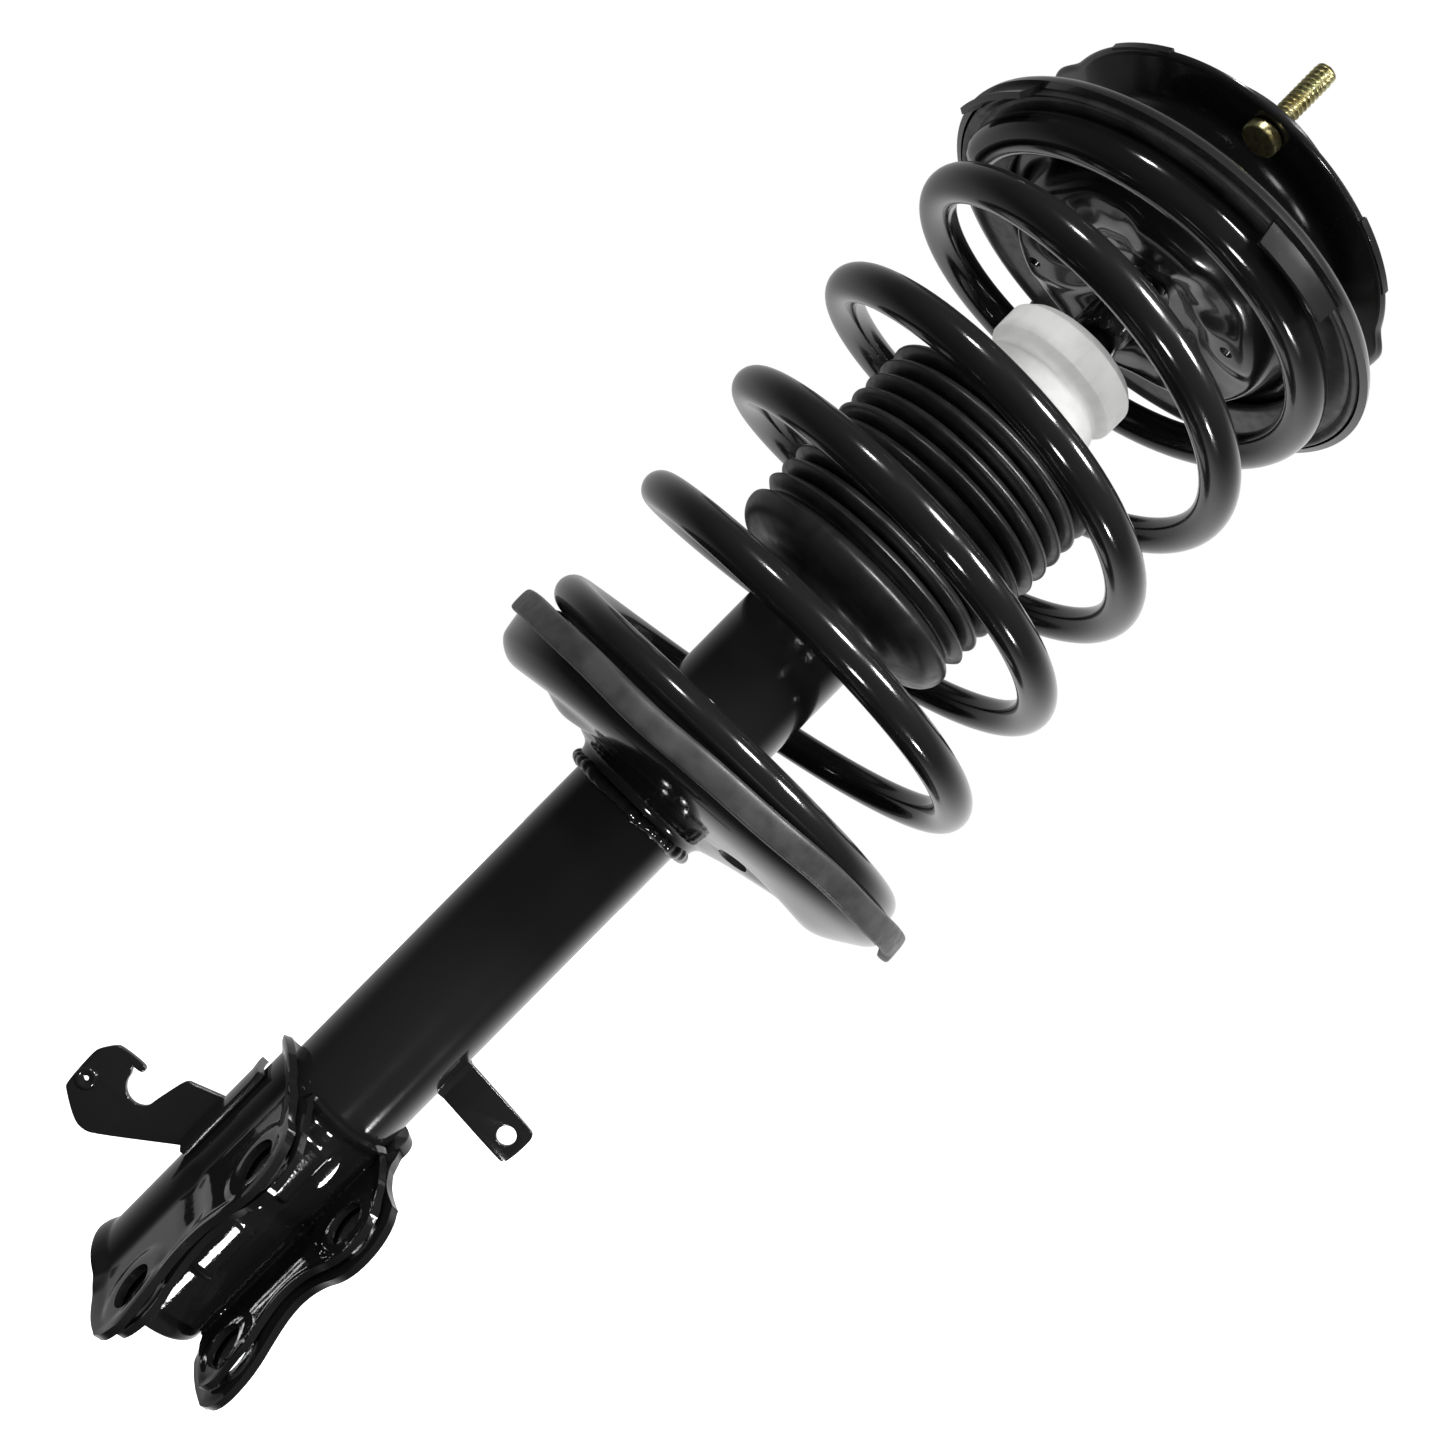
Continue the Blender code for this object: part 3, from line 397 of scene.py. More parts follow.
def cut(piece, tool):
    """Cuts a closed tool out of the piece for good, and removes the tool."""
    modifier = piece.modifiers.new("Cut", "BOOLEAN")
    modifier.operation = "DIFFERENCE"
    modifier.solver = "EXACT"
    modifier.object = tool
    bpy.context.view_layer.update()
    graph = bpy.context.evaluated_depsgraph_get()
    made = bpy.data.meshes.new_from_object(piece.evaluated_get(graph))
    piece.modifiers.clear()
    piece.data = made
    shade(made)
    bpy.data.objects.remove(tool, do_unlink=True)
    return piece


def soften(piece, width_mm, segments=2, angle=48.0):
    """A small Bevel on the sharp rims, as paint and a press leave them."""
    bevel = piece.modifiers.new("Soft rims", "BEVEL")
    bevel.width = width_mm * MM
    bevel.segments = segments
    bevel.limit_method = "ANGLE"
    bevel.angle_limit = math.radians(angle)
    bevel.harden_normals = False
    return piece


print("tools for making pieces are ready")

# %% [markdown]
# ## The damper tube
# The tube is drawn steel, 48 mm across, closed at the foot by a dished cap with a weld bead and
# rolled in at the top. A profile turned round Z gives it. The weld bead that holds a seat or a cap
# is a row of overlapping puddles, so its size ripples along its length.

# %% Tube and base cap
tube_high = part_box("outer_tube")[1]
TUBE_R = tube_high.x / MM
TUBE_TOP = tube_high.z / MM
CAP_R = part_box("base_cap")[1].x / MM

tube_line = smooth_line([
    (CAP_R + 0.1, TUBE_TOP), (TUBE_R - 1.6, TUBE_TOP), (TUBE_R, TUBE_TOP - 1.2), (TUBE_R, TUBE_TOP - 3.0),
    (TUBE_R, 3.0), (TUBE_R, 1.0), (TUBE_R - 0.9, 0.05), (CAP_R + 0.15, 0.0),
    (CAP_R + 0.1, 2.0), (CAP_R + 0.1, TUBE_TOP - 2.0)], 2, closed=True)
tube = add_turned("damper_tube", tube_line, 144)
fit_out(tube, BODY_PAINT, "black_paint", "strut_body", "outer_tube")

cap_line = smooth_line([
    (0.0, 10.0), (12.0, 10.0), (CAP_R - 1.0, 10.0), (CAP_R, 9.0), (CAP_R, 2.0), (CAP_R - 0.6, 0.3),
    (CAP_R - 3.0, 0.1), (CAP_R - 7.0, 1.2), (8.0, 2.4), (0.0, 2.6)], 3)
cap = add_turned("base_dish", cap_line, 96, closed=False)
fit_out(cap, BODY_PAINT, "black_paint", "strut_body", "base_cap")


# %% A weld bead
def weld_bead(name, radius, height, size, puddles, seed, steps=240):
    """A ring of weld. Its section is a half-round of the given size, which swells by a fifth at each
    puddle, and a slow wave moves it up and down. Each puddle's ripple leans along the ring."""
    spin = np.random.default_rng(seed)
    angle = full_turn(steps)[:, None]
    across = full_turn(14)[None, :]
    swell = 1 + 0.20 * np.abs(np.sin(puddles * (angle + 0.10 * np.cos(across)) / 2))
    swell += 0.10 * np.sin(3 * angle + spin.uniform(0, 6)) + 0.06 * np.sin(7 * angle + spin.uniform(0, 6))
    wander = 0.35 * np.sin(2 * angle + spin.uniform(0, 6)) + 0.22 * np.sin(9 * angle + spin.uniform(0, 6))
    reach = radius + size[0] * swell * np.cos(across)
    z = height + wander + size[1] * swell * np.sin(across)
    return add_mesh(name, around(reach, angle, z), grid_faces(steps, 14, True, True))


weld_low, weld_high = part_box("seat_weld")
bead = weld_bead("seat_weld_bead", TUBE_R + 1.9, weld_low.z / MM + 2.6, (2.5, 2.2), 34, 4)
fit_out(bead, BODY_PAINT, "black_paint", "strut_body", "seat_weld")

# %% [markdown]
# ## The lower spring seat
# The seat is one pressing: a wide dish that leans towards one side and flows down into an upright
# collar on the tube. Its profile is turned in the dish's own frame. Near the collar, each point is
# drawn over to the tube's frame by a smooth weight, so that the leaning dish and the upright collar
# are one surface. Low ribs, a pocket and a well are added as heights on that surface.

# %% The frame of the two seats
SIDE = math.radians(65.8)
TILT = math.radians(3.2)
SIDE_WAY = np.array([math.cos(SIDE), math.sin(SIDE), 0.0])
LOWER_SEAT_Z, LOWER_SHIFT = 284.0, 10.5
UPPER_SEAT_Z, UPPER_SHIFT = 519.0, -0.6


def leaned(points, shift, height, tilt=TILT):
    """Points drawn level round their own axis, leaned so that the side is the higher by the tangent
    of the tilt, set over towards the side, and raised."""
    along = points @ SIDE_WAY
    turned_along = along * math.cos(tilt) - points[..., 2] * math.sin(tilt)
    turned_up = along * math.sin(tilt) + points[..., 2] * math.cos(tilt)
    moved = points + (turned_along - along + shift)[..., None] * SIDE_WAY
    moved[..., 2] = turned_up + height
    return moved


def ease(x):
    """From 0 to 1 with no corner: 3x^2 - 2x^3."""
    x = np.clip(x, 0.0, 1.0)
    return x * x * (3 - 2 * x)


def hump(distance, width):
    """1 at no distance, falling smoothly to 0 at the width."""
    return 1 - ease(np.abs(distance) / width)


def turn_gap(angle, centre):
    """The angle from a centre, in degrees from -180 to 180."""
    return (np.degrees(angle) - centre + 180.0) % 360.0 - 180.0


print("both seats lean", round(math.degrees(TILT), 1), "degrees")


# %% Dish and collar
RIM_R = 89.0
SEAT_SHEET = 2.6
NECK_LOW = weld_high.z / MM + 0.3
dish_line = smooth_line([
    (RIM_R, -4.0), (RIM_R, -6.0), (RIM_R - 1.4, -10.5), (RIM_R - 6.0, -14.6), (RIM_R - 14.0, -17.4),
    (RIM_R - 26.0, -19.2), (RIM_R - 40.0, -20.8), (RIM_R - 50.0, -22.6), (RIM_R - 57.0, -25.0)], 3)
neck_line = smooth_line([(32.0, -25.0), (29.0, -26.0), (27.6, -28.0), (27.4, NECK_LOW - LOWER_SEAT_Z)], 3)
seat_line = evenly(np.vstack([dish_line[:-1], neck_line[1:]]), 90)
seat_loop = wall_loop(seat_line, SEAT_SHEET)


# Depth, middle radius and half width, then middle angle and half angle.
WELLS = [(3.4, 66.0, 17.0, math.degrees(SIDE) - 12.0, 52.0), (2.6, 56.0, 12.0, 270.0, 38.0),
         (-3.2, 47.0, 11.0, 222.0, 26.0), (-2.0, 50.0, 9.0, 20.0, 20.0)]


def press_seat(points):
    """Adds the pressed features, then leans the dish and leaves the collar upright. Each well is its
    depth times a hump about its radius times a hump about its angle."""
    radius, angle = polar(points)
    drop = 0 * radius
    for depth, middle, wide, centre, reach in WELLS:
        drop += depth * hump(radius - middle, wide) * hump(turn_gap(angle, centre), reach)
    far_gap = turn_gap(angle, math.degrees(SIDE) + 180.0)
    drop += 5.5 * hump(far_gap, 95.0) * ease((-4.5 - points[..., 2]) / 5.0) * ease((radius - 62.0) / 20.0)
    points = points.copy()
    points[..., 2] -= drop
    stay = ease((radius - 30.0) / 26.0)[..., None]
    upright = points + np.array([0.0, 0.0, LOWER_SEAT_Z])
    return stay * leaned(points, LOWER_SHIFT, LOWER_SEAT_Z) + (1 - stay) * upright


def drain_slot(angle, radius, height, narrow):
    """Where an upright drill stands that is drawn in along the radius to make a slot."""
    turn = math.radians(angle)
    spot = at(radius * math.cos(turn), radius * math.sin(turn), height)
    return spot @ Matrix.Rotation(turn, 4, "Z") @ Matrix.Diagonal((narrow, 1.0, 1.0, 1.0))


dish = add_turned("lower_seat_dish", seat_loop, 192, change=press_seat)
SLOT_LONG, SLOT_WIDE, SLOT_Z = 17.0, 8.0, 264.0      # the drain slots
drains = [drain_slot(angle, radius, SLOT_Z, SLOT_WIDE / SLOT_LONG)
          for angle, radius in ((26.0, 50.0), (178.0, 54.0))]
cut(dish, drills(drains, SLOT_LONG / 2, 30.0, 40))
soften(dish, 0.6)
fit_out(dish, BODY_PAINT, "black_paint", "strut_body", "lower_spring_seat")

# %% [markdown]
# ## The lower insulator
# A moulded rubber ring sits in the dish. Its thick lip stands above the rim and laps over it, and
# its top is a shallow groove in which the wire lies. The lip is a little uneven, as rubber is.

# %% Lower insulator
PAD_TOP = -7.7
LIP_R = RIM_R + 0.3
pad_line = smooth_line([
    (LIP_R + 3.4, -0.4), (LIP_R + 4.6, -2.0), (LIP_R + 5.0, -8.6), (LIP_R + 4.4, -10.2), (LIP_R + 0.4, -10.3),
    (LIP_R + 0.1, -9.0), (LIP_R, -3.6), (LIP_R - 2.8, -3.0), (LIP_R - 3.2, -7.0), (LIP_R - 5.0, -10.4),
    (LIP_R - 13.0, -13.6), (LIP_R - 20.5, -15.0), (LIP_R - 21.0, -9.0), (LIP_R - 20.2, PAD_TOP),
    (LIP_R - 11.0, PAD_TOP - 0.4), (LIP_R - 4.8, PAD_TOP + 0.2), (LIP_R - 3.6, -3.0), (LIP_R - 1.2, -0.5)],
    3, closed=True)


def press_pad(points):
    """Leans the ring, after a wave of a few tenths of a millimetre in its lip."""
    radius, angle = polar(points)
    outer = ease((radius - LIP_R + 6.0) / 6.0)
    points = points.copy()
    points[..., 2] += outer * (0.35 * np.sin(5 * angle + 1.0) + 0.2 * np.sin(11 * angle))
    tail = hump(turn_gap(angle, math.degrees(SIDE) - 8.0), 9.0) * outer * (points[..., 2] < -6.0)
    points[..., 2] -= 2.2 * tail
    far_end = hump(turn_gap(angle, math.degrees(SIDE) + 180.0), 80.0) * outer
    points[..., 2] += 4.6 * far_end
    points[..., :2] *= (1 - 1.7 * far_end / LIP_R)[..., None]
    return leaned(points, LOWER_SHIFT, LOWER_SEAT_Z)


pad = add_turned("lower_pad", pad_line, 180, change=press_pad)
fit_out(pad, PAD_RUBBER, "black_rubber", "strut_body", "lower_insulator")

# %% [markdown]
# ## The coil spring
# A tube carried along a helix. The end turns lie flat in the leaning seats, the middle turns climb,
# and the whole coil bows a little to one side, as a side-load spring does. The climb is the running
# sum of a share that opens after the first turn and closes before the last. The tube's section is
# a circle set square to the path, from the path's tangent and the outward direction.

# %% Coil spring
WIRE_R = 6.8
TURNS = 6.0
LOW_R, TOP_R = 77.8, 74.4
BOW = 4.3
SWING = math.radians(2.0)
OPEN, CLOSE = (0.35, 0.95), (5.00, 5.95)
COIL_LOW = LOWER_SEAT_Z + PAD_TOP + 0.3 + WIRE_R
COIL_TOP = UPPER_SEAT_Z - 7.5


def coil_path(count):
    """The wire's centre line, from its lower end."""
    turn = np.linspace(0.0, TURNS, count)
    free = ease((turn - OPEN[0]) / (OPEN[1] - OPEN[0]))
    free *= 1 - ease((turn - CLOSE[0]) / (CLOSE[1] - CLOSE[0]))
    climbed = np.concatenate([[0.0], np.cumsum((free[1:] + free[:-1]) / 2)])
    up = climbed / climbed[-1]
    shift = LOWER_SHIFT + (UPPER_SHIFT - LOWER_SHIFT) * up - BOW * np.sin(np.pi * up)
    radius = LOW_R + (TOP_R - LOW_R) * up
    angle = SIDE + np.pi - 2 * np.pi * turn
    tilt = TILT + SWING * np.cos(np.pi * up) * free
    z = COIL_LOW + (COIL_TOP - COIL_LOW) * up + radius * np.cos(angle - SIDE) * np.tan(tilt)
    return around(radius, angle, z) + shift[:, None] * SIDE_WAY


def tube_along(path, radius, sides):
    """A tube on the path: centre + radius (cos t outwards + sin t across), with rounded, closed ends."""
    tangent = unit(np.gradient(path, axis=0))
    outward = path - path.mean(axis=0)
    outward[:, 2] = 0.0
    outward = unit(outward - (outward * tangent).sum(1)[:, None] * tangent)
    across = np.cross(tangent, outward)
    angle = full_turn(sides)[None, :, None]
    ring = np.cos(angle) * outward[:, None] + np.sin(angle) * across[:, None]
    share = np.ones(len(path))
    share[:3] = share[-3:][::-1] = (0.0, 0.86, 0.97)
    return path[:, None] + ring * (radius * share)[:, None, None]


coil_points = tube_along(coil_path(620), WIRE_R, 32)
coil = add_mesh("coil", coil_points, grid_faces(*coil_points.shape[:2], False, True), sharp=60.0)
fit_out(coil, SPRING_PAINT, "black_paint", "strut_body", "coil_spring")
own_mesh(coil)

# %% [markdown]
# ## Dust boot, bump stop and rod
# The boot is a blow-moulded bellows: round crests and tighter valleys. Its profile is a wave, with
# a plain skirt and a turned-in lip below. The bump stop is cast urethane: a thick chamfered disc, a
# groove, and a long neck that the boot's collar grips. The rod is ground and hard chromed.

# %% Dust boot
boot_low, boot_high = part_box("dust_boot")
stop_low, stop_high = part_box("bump_stop")
BOOT_R = boot_high.x / MM
STOP_LOW = stop_low.z / MM
STOP_TOP = stop_high.z / MM
STOP_R = stop_high.x / MM
FOLDS = 10
PITCH = 7.1
FOLD_DEPTH = 6.2
WAVE_TOP = STOP_LOW - 0.2


def fold_line():
    """The bellows: radius = crest - depth (1 - |sin(pi z / pitch)| ^ 0.72), with the crests a little
    wider towards the skirt."""
    down = np.linspace(0.0, FOLDS * PITCH - PITCH / 2, FOLDS * 26)
    wave = np.abs(np.sin(np.pi * down / PITCH)) ** 0.72
    crest = BOOT_R - 1.3 + 1.0 * down / down[-1]
    return np.stack([crest - FOLD_DEPTH * (1 - wave), WAVE_TOP - down], axis=-1)


neck_part = smooth_line([
    (STOP_R - 4.6, STOP_LOW + 7.8), (STOP_R - 4.0, STOP_LOW + 7.2), (STOP_R - 4.0, STOP_LOW + 4.0),
    (STOP_R - 1.0, STOP_LOW + 1.8), (BOOT_R - 9.0, STOP_LOW + 0.6), (BOOT_R - 7.4, WAVE_TOP)], 3)
folds = fold_line()
low_z = folds[-1, 1]      # where the last fold ends
BOOT_LIP = boot_low.z / MM
skirt = smooth_line([
    folds[-1], (BOOT_R - 2.0, low_z - 1.6), (BOOT_R - 5.4, low_z - 3.4), (BOOT_R - 3.6, low_z - 5.0),
    (BOOT_R - 0.5, low_z - 7.0), (BOOT_R, low_z - 9.4), (BOOT_R - 0.7, low_z - 12.6),
    (BOOT_R - 3.2, low_z - 16.0), (BOOT_R - 7.5, low_z - 18.4), (BOOT_R - 12.5, low_z - 19.4),
    (BOOT_R - 15.0, BOOT_LIP + 5.8),
    (BOOT_R - 16.0, BOOT_LIP + 2.4), (BOOT_R - 17.0, BOOT_LIP)], 3)
boot_loop = wall_loop(np.vstack([neck_part[:-1], folds, skirt[1:]]), 1.2)
boot = add_turned("bellows_boot", boot_loop, 120, sharp=70.0)
fit_out(boot, BOOT_RUBBER, "black_rubber", "bump_stop", "dust_boot")

# %% Bump stop
BORE_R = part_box("piston_rod")[1].x / MM + 0.4
stop_line = smooth_line([
    (STOP_R - 3.2, STOP_TOP), (STOP_R - 2.9, STOP_TOP - 0.15), (STOP_R - 0.15, STOP_TOP - 3.1),
    (STOP_R, STOP_TOP - 3.4), (STOP_R, STOP_TOP - 12.6), (STOP_R - 0.2, STOP_TOP - 13.2),
    (STOP_R - 3.4, STOP_TOP - 15.6), (STOP_R - 4.0, STOP_TOP - 16.6), (STOP_R - 3.6, STOP_TOP - 18.0),
    (STOP_R - 1.9, STOP_TOP - 19.4),
    (STOP_R - 1.4, STOP_TOP - 21.5), (STOP_R - 2.4, STOP_LOW + 12.5), (STOP_R - 5.8, STOP_LOW + 9.0),
    (STOP_R - 6.0, STOP_LOW + 8.4), (STOP_R - 6.0, STOP_LOW + 1.0), (STOP_R - 7.0, STOP_LOW),
    (BORE_R + 1.2, STOP_LOW), (BORE_R, STOP_LOW + 1.2), (BORE_R, STOP_TOP - 1.5), (BORE_R + 1.5, STOP_TOP)],
    2, closed=True)


def stop_marks(points):
    """A raised rectangle line on the disc, as a mould insert leaves, and a parting line."""
    radius, angle = polar(points)
    gap = np.abs(turn_gap(angle, -34.0))
    edge = hump(gap - 13.0, 1.6) * (points[..., 2] > STOP_TOP - 13.0)
    parting = hump(turn_gap(angle, 62.0), 1.2) + hump(turn_gap(angle, -118.0), 1.2)
    grow = 1 + (0.22 * edge + 0.16 * parting) / STOP_R * (radius > STOP_R - 8.0)
    points = points.copy()
    points[..., :2] *= grow[..., None]
    return points


stop = add_turned("foam_stop", stop_line, 300, change=stop_marks)
fit_out(stop, URETHANE, "white_foam", "bump_stop", "bump_stop")

# %% Piston rod
rod_low, rod_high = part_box("piston_rod")
ROD_R = rod_high.x / MM
STUB_R = 7.0
SHOULDER = UPPER_SEAT_Z - 4.5
piston_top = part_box("piston")[1].z / MM
rod_line = [
    (0.0, rod_high.z / MM), (STUB_R - 1.4, rod_high.z / MM), (STUB_R - 0.1, rod_high.z / MM - 1.3),
    (STUB_R - 0.1, SHOULDER + 0.4), (STUB_R, SHOULDER), (ROD_R - 0.5, SHOULDER), (ROD_R, SHOULDER - 0.5),
    (ROD_R, piston_top + 2.8), (ROD_R - 0.8, piston_top + 2.0), (STUB_R, piston_top + 2.0),
    (STUB_R, rod_low.z / MM + 0.8), (STUB_R - 0.8, rod_low.z / MM), (0.0, rod_low.z / MM)]
rod = add_turned("chrome_rod", rod_line, 96, closed=False)
fit_out(rod, ROD_CHROME, "chrome", "rod", "piston_rod")

# %% [markdown]
# ## The upper spring seat
# Another pressing that leans with the lower one: a flat land for the coil, a step down to a floor
# stiffened with hooked ribs between six round holes, and a hub that rises to the bearing. Three
# tabs turn down at its rim to hold the rubber.

# %% Upper seat dish
UPPER_RIM = 87.2
LAND = 3.0
upper_line = smooth_line([
    (UPPER_RIM, -0.8), (UPPER_RIM - 0.6, 1.2), (UPPER_RIM - 2.6, LAND), (UPPER_RIM - 8.0, LAND),
    (UPPER_RIM - 23.0, LAND), (UPPER_RIM - 27.5, LAND - 0.6), (UPPER_RIM - 30.0, -1.0),
    (UPPER_RIM - 33.0, -7.0), (UPPER_RIM - 35.4, -10.6), (UPPER_RIM - 39.0, -12.0), (42.0, -12.0),
    (36.5, -11.6), (31.0, -9.6), (25.5, -6.4), (20.0, -3.9), (15.0, -3.5), (11.6, -3.5)], 3)
upper_loop = wall_loop(evenly(upper_line, 110), SEAT_SHEET)
HOOKS = 6
FIRST_HOLE = 32.0


def press_upper(points):
    """Ribs and pads on the floor: each of the six pads is flat round its hole, and between them a
    curved rib sinks towards the hub."""
    radius, angle = polar(points)
    angle = np.degrees(angle)
    swept = angle - FIRST_HOLE + 10.0 * ease((44.0 - radius) / 22.0)
    between = 0.5 - 0.5 * np.cos(np.radians(HOOKS * swept))
    floor = ease((radius - 19.0) / 9.0) * ease((56.0 - radius) / 8.0)
    points = points.copy()
    points[..., 2] += floor * (2.1 * ease(between * 1.3 - 0.25) - 0.3)
    wall = ease((radius - 50.0) / 4.0) * ease((61.0 - radius) / 4.0)
    points[..., 2] += 0.5 * wall * np.cos(np.radians(HOOKS * (angle - FIRST_HOLE)))
    return leaned(points, UPPER_SHIFT, UPPER_SEAT_Z)


upper = add_turned("upper_seat_dish", upper_loop, 240, change=press_upper)
HOLE_RING, HOLE_HEIGHT = 43.4, 507.0
angles = np.radians(FIRST_HOLE + np.arange(HOOKS) * 360.0 / HOOKS)
holes = [at(HOLE_RING * math.cos(angle), HOLE_RING * math.sin(angle), HOLE_HEIGHT) for angle in angles]
cut(upper, drills(holes, 2.6, 20.0, 32))


# %% The rim's turned-down tabs
def rim_tab(name, first, last, drop, flare):
    """A patch of the rim that bends down: it runs out on the land, round a small radius, and down
    and a little out. Its two ends taper by a degree or so."""
    section = evenly(smooth_line([
        (UPPER_RIM - 5.0, LAND + 0.15), (UPPER_RIM - 0.8, LAND + 0.1), (UPPER_RIM + 0.6, 1.6),
        (UPPER_RIM + 0.9, -1.0), (UPPER_RIM + flare, -drop)], 2), 16)
    taper = np.linspace(0.0, 1.4, 16)[None, :]
    angle = np.radians(np.linspace(first + taper, last - taper, 24)[:, 0])
    points = around(section[:, 0], angle, section[:, 1])
    return add_mesh(name, *sheet_shell(leaned(points, UPPER_SHIFT, UPPER_SEAT_Z), 2.2))


tabs = [rim_tab("tab_a", -15.0, 10.0, 8.4, 0.5), rim_tab("tab_b", -104.0, -76.0, 7.0, 4.2),
        rim_tab("tab_c", 152.0, 176.0, 8.4, 0.5)]
upper = join("upper_seat_press", upper, *tabs)
soften(upper, 0.45)
fit_out(upper, MOUNT_PAINT, "black_paint", "rod", "upper_spring_seat")

# %% Upper insulator
upper_pad_low = COIL_TOP + WIRE_R + 0.3 - UPPER_SEAT_Z
PAD_LIP = TOP_R + WIRE_R + 0.6
upper_pad_line = smooth_line([
    (UPPER_RIM - 1.6, LAND - 0.5), (UPPER_RIM - 0.9, LAND - 1.0), (UPPER_RIM - 0.8, -0.6),
    (UPPER_RIM - 1.4, -1.6), (UPPER_RIM - 2.2, -1.8), (UPPER_RIM - 3.0, -1.4), (PAD_LIP + 0.8, 0.4),
    (PAD_LIP, upper_pad_low + 0.4),
    (PAD_LIP - 0.8, upper_pad_low), (TOP_R - 4.0, upper_pad_low), (TOP_R - 8.6, upper_pad_low - 0.6),
    (TOP_R - 9.2, upper_pad_low + 0.6), (TOP_R - 9.0, LAND - 0.5)], 3, closed=True)
upper_pad = add_turned("upper_pad", upper_pad_line, 180,
                       change=lambda points: leaned(points, UPPER_SHIFT, UPPER_SEAT_Z))
fit_out(upper_pad, PAD_RUBBER, "black_rubber", "rod", "upper_insulator")

# %% [markdown]
# ## The top mount
# Two pressings hold a block of rubber and the bearing: a deep bowl with a flange, and a cover. The
# flange stands out at two broad corners, and a little at the front stud. The cover's radius is a
# circle plus a wave of three, cos(3a). Three studs are pressed in from below, each with a flat round
# head, a plain collar and a rolled thread.

# %% Flange and bowl
MOUNT_Z = 549.0
BOWL_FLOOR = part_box("mount_plate")[0].z / MM
BOWL_R = 49.0
MOUNT_R, CORNER = 72.8, 4.6      # the flange's radius, and how far its corners stand out
MOUNT_TURN = -30.0
STUD_RING = 63.6
STUD_SPOTS = around(STUD_RING, np.radians(MOUNT_TURN + 120.0 * np.arange(3)), 0.0)
HEAD_R = 6.6
MOUNT_SHEET = 2.6


def flange_edge(angle):
    """How far the flange's edge stands out at an angle, from 0 to 1: a quarter at the front stud,
    and all of it across two broad corners, which start and end in a short curve."""
    corners = [ease((46.0 - np.abs(turn_gap(angle, MOUNT_TURN + turn))) / 13.0) for turn in (120.0, 240.0)]
    front = 0.25 * ease((50.0 - np.abs(turn_gap(angle, MOUNT_TURN))) / 40.0)
    return np.maximum(np.maximum(*corners), front)


def three_waves(angle):
    """A wave with three crests, at the studs."""
    return np.cos(3 * (angle - math.radians(MOUNT_TURN)))


def spread(points, grow, edge, start, full):
    """Adds grow times the edge function to the radius, from nothing at one radius to all of it at
    another, so that the middle stays round."""
    radius, angle = polar(points)
    share = ease((radius - start) / (full - start))
    grown = radius + grow * share * edge(angle)
    points = points.copy()
    points[..., :2] *= (grown / np.maximum(radius, 1e-6))[..., None]
    return points


bowl_line = smooth_line([
    (MOUNT_R, MOUNT_Z + 1.9), (MOUNT_R, MOUNT_Z + 0.9), (MOUNT_R - 1.0, MOUNT_Z), (MOUNT_R - 3.0, MOUNT_Z),
    (57.5, MOUNT_Z), (54.0, MOUNT_Z - 1.0), (51.4, MOUNT_Z - 5.0), (50.3, MOUNT_Z - 10.0),
    (BOWL_R, BOWL_FLOOR + 3.4), (BOWL_R - 3.2, BOWL_FLOOR), (38.0, BOWL_FLOOR), (30.0, BOWL_FLOOR),
    (25.2, BOWL_FLOOR)], 3)


def press_bowl(points):
    """The flange's three corners, and a low pad raised round each stud."""
    points = spread(points, CORNER, flange_edge, 56.0, MOUNT_R)
    for x, y, z in STUD_SPOTS:
        away = np.hypot(points[..., 0] - x, points[..., 1] - y)
        points[..., 2] += 0.35 * hump(away, 12.0)
    return points


bowl = add_turned("mount_bowl", wall_loop(evenly(bowl_line, 90), MOUNT_SHEET), 240, change=press_bowl)


def edge_lug(name, first, last):
    """A flat lug on top of the flange, flush with its edge: a step of one sheet."""
    radius = np.linspace(MOUNT_R - 9.0, MOUNT_R + 0.5, 8)
    angle = np.radians(np.linspace(first, last, 20))[:, None]
    points = around(radius, angle, MOUNT_Z + MOUNT_SHEET + 0.05)
    points = spread(points, CORNER, flange_edge, 56.0, MOUNT_R)
    return add_mesh(name, *sheet_shell(points, 2.2))


lugs = [edge_lug(f"edge_lug_{k}", first, last) for k, (first, last) in
        enumerate([(-86.0, -64.0), (4.0, 29.0), (140.0, 164.0)])]
bowl = join("mount_bowl_press", bowl, *lugs)
soften(bowl, 0.4)
fit_out(bowl, MOUNT_PAINT, "black_paint", "top_mount", "mount_plate")

# %% Cover
COVER_Z = MOUNT_Z + MOUNT_SHEET + 0.3
cover_line = smooth_line([
    (63.0, COVER_Z), (58.0, COVER_Z), (54.0, COVER_Z + 0.2), (49.0, COVER_Z + 2.0), (43.0, COVER_Z + 6.6),
    (38.0, COVER_Z + 8.4), (32.0, COVER_Z + 8.9), (24.0, COVER_Z + 9.0), (22.0, COVER_Z + 9.0)], 3)
cover = add_turned("mount_cover_press", wall_loop(evenly(cover_line, 60), MOUNT_SHEET), 192,
                   change=lambda points: spread(points, 7.0, three_waves, 50.0, 63.0))
soften(cover, 0.4)
fit_out(cover, MOUNT_PAINT, "black_paint", "top_mount", "mount_cover")


